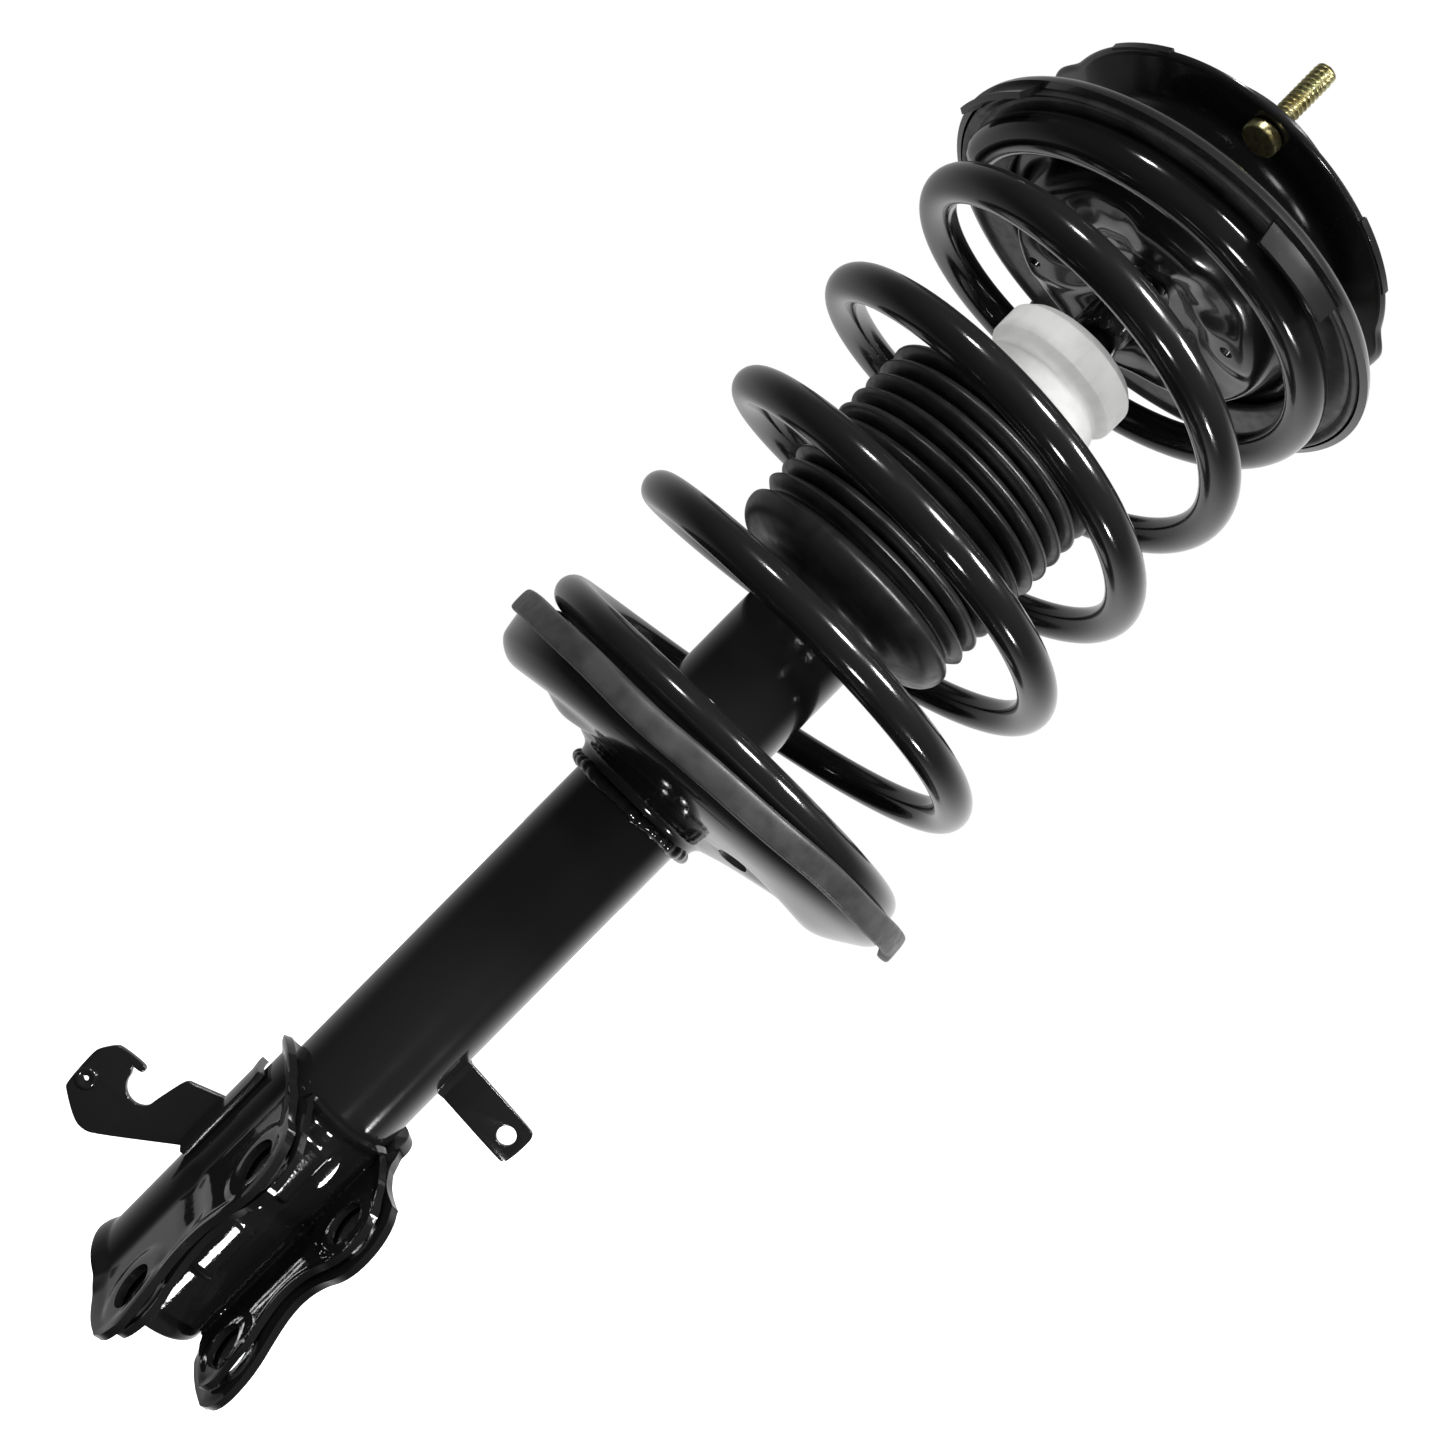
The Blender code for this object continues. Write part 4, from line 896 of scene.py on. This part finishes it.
# %% Studs
def thread(radius, depth, pitch, low, high, sides=48, per_turn=10):
    """A rolled thread: radius - depth |saw(z / pitch - a / 2 pi)|, fading out at both ends."""
    rows = int((high - low) / pitch * per_turn)
    z = np.linspace(low, high, rows)[:, None]
    angle = full_turn(sides)[None, :]
    wave = np.abs(((z / pitch - angle / (2 * np.pi)) % 1.0) * 2 - 1)
    fade = ease((z - low) / pitch) * ease((high - z) / (0.6 * pitch))
    reach = radius - depth * (1 - (1 - wave) * fade) * fade - 0.25 * depth * (1 - fade)
    return around(reach, angle, z)


def closed_column(rings):
    """Points of a column of rings, with a point at the middle of each end to close it."""
    first = rings[0].mean(axis=0, keepdims=True) + 0 * rings[:1]
    last = rings[-1].mean(axis=0, keepdims=True) + 0 * rings[-1:]
    return np.concatenate([first, rings, last])


def round_rings(profile, sides):
    """Rings of a turned profile, from low to high."""
    radius, height = np.asarray(profile, float).T[..., None]
    return around(radius, full_turn(sides), height)


STUD_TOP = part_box("mount_stud_1")[1].z / MM
STUD_R = 3.9
head_rings = round_rings([
    (HEAD_R - 0.5, MOUNT_Z - 3.6), (HEAD_R - 0.15, MOUNT_Z - 3.35), (HEAD_R, MOUNT_Z - 2.9),
    (HEAD_R, MOUNT_Z - 0.5), (HEAD_R - 0.2, MOUNT_Z - 0.3), (STUD_R + 0.1, MOUNT_Z - 0.3),
    (STUD_R + 0.1, MOUNT_Z + 5.4),
    (STUD_R - 0.3, MOUNT_Z + 5.8)], 48)
shank = thread(STUD_R + 0.1, 0.85, 1.75, MOUNT_Z + 5.9, STUD_TOP - 0.7)
tip = round_rings([(STUD_R - 0.7, STUD_TOP - 0.6), (STUD_R - 1.3, STUD_TOP)], 48)
stud_rings = closed_column(np.concatenate([head_rings, shank, tip]))
stud_faces = grid_faces(*stud_rings.shape[:2], False, True)
for k, place in enumerate(STUD_SPOTS, 1):
    stud = add_mesh(f"stud_{k}", stud_rings + place, stud_faces, sharp=30.0)
    fit_out(stud, YELLOW_ZINC, "yellow_zinc", "top_mount", f"mount_stud_{k}")

# %% [markdown]
# ## The knuckle bracket
# The shell is a flat blank pressed round the back of the tube, with two flanges that stand forward
# to take the knuckle. We work as the press does: four edge curves outline half of the flat blank,
# the space between them is filled by blending opposite edges (a Coons patch), and one formula bends
# the blank round the tube and along the flange. Flared rims, hole pads and ribs are heights square
# to the sheet.

# %% The blank and its bend
HOLE_X, HOLE_Z, HOLE_R = 40.6, (19.0, 79.3), 8.2
FLANGE = 23.5
SHEET = 3.2


def coons(left, right, low, high):
    """The patch between four edges: each point is the sum of the two straight blends of opposite
    edges, less the blend of the four corners. low and high run from left to right."""
    u = np.linspace(0, 1, len(low))[:, None, None]
    v = np.linspace(0, 1, len(left))[None, :, None]
    across = (1 - v) * low[:, None] + v * high[:, None]
    along = (1 - u) * left[None] + u * right[None]
    corners = (1 - u) * ((1 - v) * low[0] + v * high[0]) + u * ((1 - v) * low[-1] + v * high[-1])
    return across + along - corners


def bend_line(radius, half, start, arc_points, window):
    """Half of a sheet's section at mid sheet: an arc round the tube from the start angle, then
    straight forward at the half width. A moving average over the window rounds its corner. Returns
    points and their distance along."""
    arc_angle = np.linspace(start, math.asin(half / radius), arc_points)
    arc = np.stack([radius * np.cos(arc_angle), radius * np.sin(arc_angle)], axis=1)
    ahead = np.linspace(arc[-1, 0], 80.0, 60)[1:]
    line = evenly(np.vstack([arc, np.stack([ahead, np.full(59, half)], axis=1)]), 400)
    kernel = np.hanning(window)
    kernel /= kernel.sum()
    reach = window // 2
    before = line[1:reach + 1][::-1] * [1, -1]
    after = line[-1] + np.arange(1, reach + 1)[:, None] * (line[-1] - line[-2])
    padded = np.vstack([before, line, after])
    line = np.stack([np.convolve(column, kernel, "valid") for column in padded.T], axis=1)
    along = np.concatenate([[0.0], np.cumsum(np.linalg.norm(np.diff(line, axis=0), axis=1))])
    return line, along


shell_line, shell_along = bend_line(TUBE_R + 0.3 + SHEET / 2, FLANGE - SHEET / 2, np.pi, 60, 33)


def reach_at(line, along, x):
    """The distance along the section at which the flange has got to x."""
    flat = line[:, 0] > 16.0
    return np.interp(x, line[flat, 0], along[flat])


def bend_blank(blank, lift, line, along, side):
    """Carries a flat blank (distance along, z) onto the section, moved square to the sheet by the
    lift, on the side of +Y (+1) or of -Y (-1)."""
    s = blank[..., 0]
    x = np.interp(s, along, line[:, 0])
    y = np.interp(s, along, line[:, 1])
    step = np.gradient(line, along, axis=0)
    tx, ty = np.interp(s, along, step[:, 0]), np.interp(s, along, step[:, 1])
    size = np.hypot(tx, ty)
    nx, ny = -ty / size, tx / size
    return np.stack([x + lift * nx, side * (y + lift * ny), blank[..., 1]], axis=-1)


def edge_distance(blank, edges):
    """Distance in the flat blank from each point to the nearest sample of the outline."""
    flat = blank.reshape(-1, 2)
    outline = np.vstack(edges)
    best = np.full(len(flat), 1e9)
    for start in range(0, len(outline), 40):
        gap = np.linalg.norm(flat[:, None] - outline[None, start:start + 40], axis=-1).min(axis=1)
        best = np.minimum(best, gap)
    return best.reshape(blank.shape[:-1])


print("half of the bracket's section is", round(float(shell_along[-1]), 1), "mm long")

# %% Shell
def shell_blank(front, top, bottom, rows=84, columns=70):
    """Half of the blank from its edge curves, given as (distance along the section, z)."""
    left = np.stack([np.zeros(columns), np.linspace(bottom[0][1], top[0][1], columns)], axis=1)
    right = evenly(smooth_line(front, 3), columns)
    low = evenly(smooth_line(bottom, 3), rows)
    high = evenly(smooth_line(top, 3), rows)
    left[0], left[-1], right[0], right[-1] = low[0], high[0], low[-1], high[-1]
    return coons(left, right, low, high), (right, low, high)


def on_flange(points):
    """Turns (x, z) on the flange into (distance, z)."""
    points = np.asarray(points, float)
    return np.column_stack([reach_at(shell_line, shell_along, points[:, 0]), points[:, 1]])


BACK_TO_FLANGE = float(reach_at(shell_line, shell_along, 17.0))
ear = BACK_TO_FLANGE - 15.0
shell_top = [
    (0.0, 99.5), (12.0, 99.6), (ear - 22.0, 101.0), (ear - 10.0, 105.5), (ear, 107.2), (ear + 7.0, 105.0)]
shell_low = [(0.0, 3.0), (ear - 25.0, 5.0), (ear - 8.0, 4.0), (ear + 6.0, 0.6)]
left_front = [
    (48.0, 1.4), (52.0, 4.6), (54.4, 10.0), (55.0, 16.0), (53.0, 25.0), (48.4, 34.0), (46.6, 42.0),
    (47.2, 52.0), (50.6, 61.0), (54.0, 69.0), (55.8, 77.0), (54.6, 85.0), (49.0, 92.0), (42.0, 95.6)]
right_front = [
    (50.0, 1.2), (55.4, 5.0), (58.0, 10.5), (58.2, 18.0), (56.0, 27.0), (50.0, 36.0), (46.0, 44.0),
    (45.6, 52.0), (49.6, 61.0), (55.6, 68.0), (58.4, 76.0), (58.0, 85.0), (54.0, 93.0), (47.0, 97.0)]


def shell_half(name, side, front):
    """One half of the shell, from the back's middle line to the front edge of its flange."""
    top = np.vstack([shell_top, on_flange([(26.0, 98.5), (34.0, 96.0), front[-1]])])
    low = np.vstack([shell_low, on_flange([(26.0, -1.6), (38.0, -1.2), front[0]])])
    blank, edges = shell_blank(on_flange(front), top, low)
    gap = edge_distance(blank, edges)
    s, z = blank[..., 0], blank[..., 1]
    flange_x = np.interp(s, shell_along, shell_line[:, 0])
    flat = ease((flange_x - 16.0) / 8.0)
    lift = 2.6 * hump(gap, 6.5) * (1 - 0.55 * flat)
    lift += 1.8 * hump(gap, 5.0) * ease((z - 96.0) / 8.0)
    for hole_z in HOLE_Z:
        away = np.hypot(flange_x - HOLE_X, z - hole_z)
        lift += flat * 0.9 * hump(np.maximum(away - 11.5, 0.0), 4.5)
    rib = hump(z - 49.0, 9.0) * ease((flange_x - 4.0) / 10.0) * ease((43.0 - flange_x) / 8.0)
    lift -= 1.0 * rib
    mid = bend_blank(blank, lift - SHEET / 2, shell_line, shell_along, side)
    return add_mesh(name, *sheet_shell(mid, -SHEET * side))


BOLT_HOLES = [at(HOLE_X, 0.0, hole_z) @ Matrix.Rotation(math.pi / 2, 4, "X") for hole_z in HOLE_Z]
halves = [shell_half("shell_left", -1, left_front), shell_half("shell_right", 1, right_front)]
for half in halves:
    cut(half, drills(BOLT_HOLES, HOLE_R, 100.0, 64))
shell = join("bracket_shell", *halves)
soften(shell, 0.7, 3)
fit_out(shell, BRACKET_PAINT, "black_paint", "strut_body", "knuckle_bracket")

# %% Liner
LINER = 2.9
liner_line, liner_along = bend_line(TUBE_R + 0.3 + LINER / 2, FLANGE - SHEET - 0.3 - LINER / 2, 0.0, 40, 15)
BOSSES = [(30.0, 53.0), (68.0, 91.0)]      # foot and head of each, in z
BOSS_FIRST, BOSS_LAST = -25.0, 1.0         # their sides, in degrees


def liner_half(name, side, trim):
    """One half of the liner, from its middle line on the tube's front to its flange's front edge.
    Two bosses, a hollow between them, a ridge beside the bend and a turned-out top edge are heights
    on the round part. The flange has a ring round each hole and a raised rim."""
    def flat_points(points):
        """Turns x beyond 30 mm, which is on the flange, into the distance along the section."""
        points = np.asarray(points, float)
        far = points[:, 0] > 30.0
        points[far, 0] = np.interp(points[far, 0], liner_line[200:, 0], liner_along[200:])
        return points
    front = [(50.0 - trim, 6.6), (53.0 - trim, 11.0), (54.0 - trim, 18.0), (51.6 - trim, 27.0),
             (46.4 - trim, 36.0), (43.0, 44.0), (43.2, 53.0), (47.0 - trim, 62.0), (52.4 - trim, 70.0),
             (55.2 - trim, 78.0), (54.0 - trim, 86.0), (49.0 - trim, 92.5)]
    top = [(0.0, 101.4), (9.0, 101.6), (17.0, 102.2), (24.0, 101.0), (34.0, 97.0), (42.0, 95.0), front[-1]]
    low = [(0.0, 11.0), (9.0, 10.4), (17.0, 9.0), (24.0, 7.6), (36.0, 6.6), front[0]]
    rows, columns = 96, 84
    right = evenly(smooth_line(flat_points(front), 3), columns)
    bottom = evenly(smooth_line(flat_points(low), 3), rows)
    upper_edge = evenly(smooth_line(flat_points(top), 3), rows)
    left = np.stack([np.zeros(columns), np.linspace(11.0, 101.4, columns)], axis=1)
    right[0], right[-1] = bottom[-1], upper_edge[-1]
    blank = coons(left, right, bottom, upper_edge)
    gap = edge_distance(blank, (right, bottom, upper_edge))
    s, z = blank[..., 0], blank[..., 1]
    x = np.interp(s, liner_along, liner_line[:, 0])
    y = side * np.interp(s, liner_along, liner_line[:, 1])
    angle = np.degrees(np.arctan2(y, x))
    front_share = ease((30.0 - s) / 6.0)
    lift = np.zeros_like(s)
    for foot, head in BOSSES:
        block = ease((z - foot) / 2.2 + 0.5) * ease((head - z) / 2.2 + 0.5)
        block *= ease((angle - BOSS_FIRST) / 3.0 + 0.5) * ease((BOSS_LAST - angle) / 3.0 + 0.5)
        lift += 1.7 * block * front_share
    lift -= 0.9 * hump(z - 60.5, 6.5) * front_share
    lift += 0.8 * hump(angle - side * 27.0, 5.0) * front_share * 0.6
    lift += 1.6 * hump(gap, 4.5) * ease((z - 92.0) / 6.0) * front_share
    flange_share = 1 - front_share
    for hole_z in HOLE_Z:
        away = np.hypot(x - HOLE_X, z - hole_z)
        lift += flange_share * 0.9 * hump(np.maximum(away - 10.5, 0.0), 3.5)
    lift += flange_share * 0.9 * hump(gap, 3.6)
    lift = np.where(flange_share > 0.5, np.minimum(lift, 1.4), lift)
    surface = bend_blank(blank, -(lift + LINER / 2), liner_line, liner_along, side)
    return add_mesh(name, *sheet_shell(surface, -LINER * side))


liner_halves = [liner_half("liner_left", -1, 1.0), liner_half("liner_right", 1, 0.0)]
for half in liner_halves:
    cut(half, drills(BOLT_HOLES, HOLE_R, 100.0, 64))
liner = join("bracket_liner_press", *liner_halves)
soften(liner, 0.6, 3)
fit_out(liner, BRACKET_PAINT, "black_paint", "strut_body", "bracket_liner")

# %% [markdown]
# ## Hose plate and wiring strap
# Both are flat blanks with round corners, so an outline filled as a 2D curve with a small bevel is
# the shortest way. Each blank becomes a mesh and is then turned and moved into its place. The hose
# plate is welded to a tab on the bracket, and the strap's foot is curved to lie on the tube.

# %% Flat blanks
def blank_plate(name, outlines, thickness, rim=0.45):
    """A plate of the given thickness from closed outlines: the first is its edge, the rest are holes.
    It lies in XZ with its thickness towards -Y. A round bevel softens the rims."""
    curve = bpy.data.curves.new(name, "CURVE")
    curve.dimensions = "2D"
    curve.fill_mode = "BOTH"
    curve.extrude = (thickness / 2 - rim) * MM
    curve.bevel_depth = rim * MM
    curve.bevel_resolution = 2
    curve.offset = -rim * MM
    for outline in outlines:
        spline = curve.splines.new("POLY")
        spline.points.add(len(outline) - 1)
        flat = np.column_stack([np.asarray(outline) * MM, np.zeros(len(outline)), np.ones(len(outline))])
        spline.points.foreach_set("co", flat.ravel())
        spline.use_cyclic_u = True
    guide = link(name + "_guide", curve)
    bpy.context.view_layer.update()
    graph = bpy.context.evaluated_depsgraph_get()
    mesh = bpy.data.meshes.new_from_object(guide.evaluated_get(graph))
    bpy.data.objects.remove(guide, do_unlink=True)
    mesh.transform(Matrix.Rotation(math.pi / 2, 4, "X") @ at(0, 0, thickness / 2))
    shape = bmesh.new()
    shape.from_mesh(mesh)
    bmesh.ops.remove_doubles(shape, verts=shape.verts, dist=1e-6)
    bmesh.ops.recalc_face_normals(shape, faces=shape.faces)
    shape.to_mesh(mesh)
    shape.free()
    shade(mesh, 40.0)
    return link(name, mesh)


def arc(x, z, radius, angle):
    """Points round a centre, at the angles given: (x + r cos a, z + r sin a)."""
    return np.stack([x + radius * np.cos(angle), z + radius * np.sin(angle)], axis=1)


print("plates are cut from outlines")


# %% Hose plate
ARM = SIDE + math.pi
HOSE_Z = 49.5
HOSE_SHEET = 3.0
ROOT = TUBE_R + 0.3 + SHEET + 0.6
SLOT_X, SLOT_LEVEL, SLOT_R = ROOT + 26.5, HOSE_Z + 2.5, 6.8
TIP = ROOT + 48.5
lower_side = smooth_line([
    (ROOT, HOSE_Z - 2.0), (ROOT + 1.0, HOSE_Z - 2.6), (TIP - 21.0, HOSE_Z - 23.0),
    (TIP - 17.0, HOSE_Z - 24.8), (TIP - 12.0, HOSE_Z - 24.6), (TIP - 1.6, HOSE_Z - 18.4),
    (TIP - 0.2, HOSE_Z - 16.4), (TIP + 0.6, HOSE_Z - 1.0), (TIP - 0.4, HOSE_Z + 1.6),
    (TIP - 3.6, HOSE_Z + 6.2), (TIP - 5.6, HOSE_Z + 7.4), (TIP - 15.6, HOSE_Z + 8.6),
    (TIP - 17.8, HOSE_Z + 8.0), (TIP - 18.0, HOSE_Z + 5.6),
    (SLOT_X + SLOT_R + 1.6, SLOT_LEVEL + 2.6)], 2)
slot_bow = arc(SLOT_X, SLOT_LEVEL, SLOT_R, np.radians(np.linspace(-2.0, -150.0, 24)))
upper_side = smooth_line([
    (SLOT_X - SLOT_R + 0.2, SLOT_LEVEL + 1.0), (ROOT + 18.0, HOSE_Z + 12.6), (ROOT + 16.8, HOSE_Z + 15.6),
    (ROOT + 14.4, HOSE_Z + 16.4), (ROOT + 2.0, HOSE_Z + 21.4), (ROOT, HOSE_Z + 21.6)], 2)
hose = blank_plate("hose_plate_blank", [np.vstack([lower_side, slot_bow, upper_side])], HOSE_SHEET)
print("the hose plate reaches", round(TIP, 1), "mm from the tube's axis")

# %% Its dimple and tab
dimple_rings = round_rings([
    (0.9, 0.0), (1.9, 0.35), (2.7, 0.9), (3.3, 1.0), (3.9, 0.75), (4.4, 0.1), (4.4, -0.4), (0.9, -0.4)], 40)
dimple = add_mesh("dimple", dimple_rings, grid_faces(*dimple_rings.shape[:2], True, True))
dimple_spot = at(TIP - 4.5, 0, HOSE_Z - 10.0)
dimple.data.transform(dimple_spot @ Matrix.Rotation(-math.pi / 2, 4, "X"))
cut(hose, drills([dimple_spot @ Matrix.Rotation(math.pi / 2, 4, "X")], 1.9, 20.0, 32))

tab_angle = np.radians(np.linspace(-4.0, 27.0, 20))[:, None]
tab_z = np.linspace(50.0, 91.0, 26)[None, :]
tab_r = TUBE_R + SHEET + 0.7 + 0.5 * hump(tab_z - 91.0, 5.0)
tab = add_mesh("hose_tab", *sheet_shell(around(tab_r, tab_angle, tab_z), HOSE_SHEET))


# %% Its welds
def bead_along(name, points, size, seed):
    """A short weld bead on a path: a tube whose size swells at each puddle."""
    path = evenly(smooth_line(points, 2), 60)
    spin = np.random.default_rng(seed)
    rings = tube_along(path, size, 12)
    centre = path[:, None]
    along = np.linspace(0, 1, 60)[:, None, None]
    swell = 1 + 0.22 * np.abs(np.sin(along * 26 + spin.uniform(0, 3))) + 0.08 * np.sin(along * 9)
    return add_mesh(name, centre + (rings - centre) * swell, grid_faces(60, 12, False, True))


root_path = [(ROOT - 0.6, -3.2, 47.0), (ROOT + 0.2, -3.6, 58.0), (ROOT - 0.6, -3.2, 70.0)]
tab_path = around(TUBE_R + 5.0, math.radians(28.0), np.array([52.0, 62.0, 74.0, 88.0]))
hose_beads = [bead_along("bead_a", root_path, 1.7, 1), bead_along("bead_b", tab_path, 1.5, 2)]
hose = join("hose_plate", hose, dimple, tab, *hose_beads)
hose.data.transform(Matrix.Rotation(ARM, 4, "Z"))
fit_out(hose, BODY_PAINT, "black_paint", "strut_body", "hose_bracket")

# %% Wiring strap
STRAP_Z, STRAP_W, STRAP_END = 134.0, 16.5, 61.0
STRAP_SHEET = 3.0
STRAP_LOW, STRAP_HIGH = STRAP_Z - STRAP_W / 2, STRAP_Z + STRAP_W / 2
strap_root = math.sqrt((TUBE_R + 0.3) ** 2 - 7.0 ** 2) + 0.6
strap_outline = smooth_line([
    (strap_root, STRAP_LOW), (STRAP_END - 3.4, STRAP_LOW), (STRAP_END - 1.0, STRAP_LOW + 0.6),
    (STRAP_END, STRAP_LOW + 3.4), (STRAP_END, STRAP_HIGH - 3.4), (STRAP_END - 1.0, STRAP_HIGH - 0.6),
    (STRAP_END - 3.4, STRAP_HIGH), (strap_root, STRAP_HIGH)], 2)
strap_hole = arc(STRAP_END - 7.5, STRAP_Z, 3.8, full_turn(40))
strap = blank_plate("strap_blank", [strap_outline, strap_hole], STRAP_SHEET)
strap.data.transform(at(0, 10.0, 0))
pivot = at(strap_root, 0, STRAP_Z)
strap.data.transform(pivot @ Matrix.Rotation(math.radians(3.5), 4, "Y") @ pivot.inverted())
foot_angle = np.radians(np.linspace(13.0, 60.0, 24))[:, None]
foot_front = around(TUBE_R + 0.3, foot_angle, np.linspace(STRAP_LOW, STRAP_HIGH, 12)[None, :])
foot = add_mesh("strap_foot", *sheet_shell(foot_front, STRAP_SHEET))
strap = join("wiring_strap", strap, foot)
strap.data.transform(Matrix.Rotation(SIDE, 4, "Z"))
soften(strap, 0.3)
fit_out(strap, BODY_PAINT, "black_paint", "strut_body", "strap_bracket")

# %% [markdown]
# ## The pieces inside
# The valves, guide, seal, piston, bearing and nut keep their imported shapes, because no view reaches
# their small rims. Each still gets its own finish.

# %% Finishes for the carried-over nodes
INSIDE = {
    "steel": BARE_STEEL, "bronze": BRONZE, "seal_rubber": INNER_RUBBER,
    "yellow_zinc": YELLOW_ZINC, "cage_plastic": CAGE_PLASTIC, "black_paint": BODY_PAINT,
    "black_rubber": PAD_RUBBER, "chrome": ROD_CHROME, "white_foam": URETHANE}
slots = {row["node"]: row["material_slot"] for row in frame["record"]["subparts"]}
kept = [node for node in frame["nodes"] if not frame["nodes"][node].hide_render]
for node in kept:
    mesh = frame["nodes"][node].data
    mesh.materials.clear()
    mesh.materials.append(INSIDE[slots[node]])
print("kept as packed:", ", ".join(sorted(kept)))

# %% [markdown]
# ## Floor, light and camera
# The stage is a plain pale floor below the part. Gloss black shows what it mirrors, so the light is
# a bright sky behind and beside the part, a dark front, and five small soft boxes for the streaks.

# %% Floor and light
FLOOR_Z, FLOOR_HALF = -0.30, 6.0
floor_mesh = bpy.data.meshes.new("floor")
corners = [(x * FLOOR_HALF, y * FLOOR_HALF, FLOOR_Z) for x, y in ((-1, -1), (1, -1), (1, 1), (-1, 1))]
floor_mesh.from_pydata(corners, [], [(0, 1, 2, 3)])
floor = link("floor", floor_mesh)
pale, _, pale_shader = new_finish("pale_floor", (0.9, 0.9, 0.9), 0.9)
pale_shader.inputs["Emission Color"].default_value = (1, 1, 1, 1)
pale_shader.inputs["Emission Strength"].default_value = 0.85
floor_mesh.materials.append(pale)
floor.visible_glossy = False
floor.visible_diffuse = False
print("the floor is at", FLOOR_Z, "m")

# %% Camera
# Where the camera stands, in metres, and which ways its right, its up and its back point.
CAMERA_AT = Vector((0.5096, -0.2249, 0.2662))
RIGHT = Vector((0.273817, 0.655946, 0.703395))
UP = Vector((-0.302368, -0.635554, 0.710387))
BACK = Vector((0.913016, -0.407198, 0.024311))
camera_data = bpy.data.cameras.new("camera")
camera_data.lens = 37.99
camera_data.sensor_width = 36.0
camera_data.shift_x = 0.06
camera_data.shift_y = 0.06
camera_data.clip_start = 0.01
camera = link("camera", camera_data)
turn = Matrix((RIGHT, UP, BACK)).transposed().to_4x4()
camera.matrix_world = Matrix.Translation(CAMERA_AT) @ turn
bpy.context.scene.camera = camera
print("the lens is", camera_data.lens, "mm")


# %% World and lamps
def smooth_step(tree, value, start, full, low, high):
    """Maps a value with a smooth step from low to high."""
    node = tree.nodes.new("ShaderNodeMapRange")
    node.interpolation_type = "SMOOTHSTEP"
    for name, number in (("From Min", start), ("From Max", full), ("To Min", low), ("To Max", high)):
        node.inputs[name].default_value = number
    tree.links.new(value, node.inputs["Value"])
    return node.outputs["Result"]


def build_world():
    """Mirrored, it is bright behind the part and dark in front. Seen straight, and as soft light on
    dull surfaces, it is plain white."""
    world = bpy.data.worlds.new("studio")
    bpy.context.scene.world = world
    world.use_nodes = True
    tree = world.node_tree
    tree.nodes.clear()
    where = tree.nodes.new("ShaderNodeTexCoord")
    facing = tree.nodes.new("ShaderNodeVectorMath")
    facing.operation = "DOT_PRODUCT"
    facing.inputs[1].default_value = -BACK
    tree.links.new(where.outputs["Generated"], facing.inputs[0])
    shade = smooth_step(tree, facing.outputs["Value"], -0.10, 0.80, 0.045, 1.15)
    slant = tree.nodes.new("ShaderNodeVectorMath")
    slant.operation = "DOT_PRODUCT"
    slant.inputs[1].default_value = (RIGHT - UP).normalized()
    tree.links.new(where.outputs["Generated"], slant.inputs[0])
    share = smooth_step(tree, slant.outputs["Value"], -0.5, 0.7, 0.34, 1.0)
    strength = tree.nodes.new("ShaderNodeMath")
    strength.operation = "MULTIPLY"
    tree.links.new(shade, strength.inputs[0])
    tree.links.new(share, strength.inputs[1])
    sky = tree.nodes.new("ShaderNodeBackground")
    sky.inputs["Color"].default_value = (1, 1, 1, 1)
    tree.links.new(strength.outputs["Value"], sky.inputs["Strength"])
    plain = tree.nodes.new("ShaderNodeBackground")
    plain.inputs["Color"].default_value = (1, 1, 1, 1)
    ray = tree.nodes.new("ShaderNodeLightPath")
    glossy = tree.nodes.new("ShaderNodeMath")
    glossy.operation = "SUBTRACT"
    glossy.inputs[0].default_value = 1.0
    tree.links.new(ray.outputs["Is Glossy Ray"], glossy.inputs[1])
    mixer = tree.nodes.new("ShaderNodeMixShader")
    out = tree.nodes.new("ShaderNodeOutputWorld")
    tree.links.new(glossy.outputs["Value"], mixer.inputs["Fac"])
    tree.links.new(sky.outputs["Background"], mixer.inputs[1])
    tree.links.new(plain.outputs["Background"], mixer.inputs[2])
    tree.links.new(mixer.outputs["Shader"], out.inputs["Surface"])


def soft_box(name, azimuth, elevation, away, size, watts):
    """A square lamp aimed at the middle of the part, from a compass angle, a height angle (both in
    degrees) and a distance in metres. It stands well above the part, so that the upright tube,
    whose normals are level, mirrors none of it."""
    middle = (cad_low + cad_high) / 2
    data = bpy.data.lights.new(name, "AREA")
    data.shape = "SQUARE"
    data.size = size
    data.energy = watts
    lamp = link(name, data)
    flat, up = math.radians(azimuth), math.radians(elevation)
    way = Vector((math.cos(up) * math.cos(flat), math.cos(up) * math.sin(flat), math.sin(up)))
    across = Vector((0, 0, 1)).cross(way).normalized()
    turned_to = Matrix((across, way.cross(across), way)).transposed().to_4x4()
    lamp.matrix_world = Matrix.Translation(middle + way * away) @ turned_to
    lamp.visible_camera = False
    return lamp


build_world()
soft_box("key_box", -14.0, 48.0, 1.25, 0.20, 15.0)
soft_box("second_box", 19.0, 48.0, 1.25, 0.20, 12.0)
soft_box("low_box", 2.0, -34.0, 1.10, 0.14, 5.0)
soft_box("side_glint", -62.0, 30.0, 1.20, 0.10, 4.0)
soft_box("far_glint", 52.0, -28.0, 1.20, 0.10, 4.0)
bpy.context.scene.view_settings.view_transform = "Standard"
print("the sky and the lamps are in place")
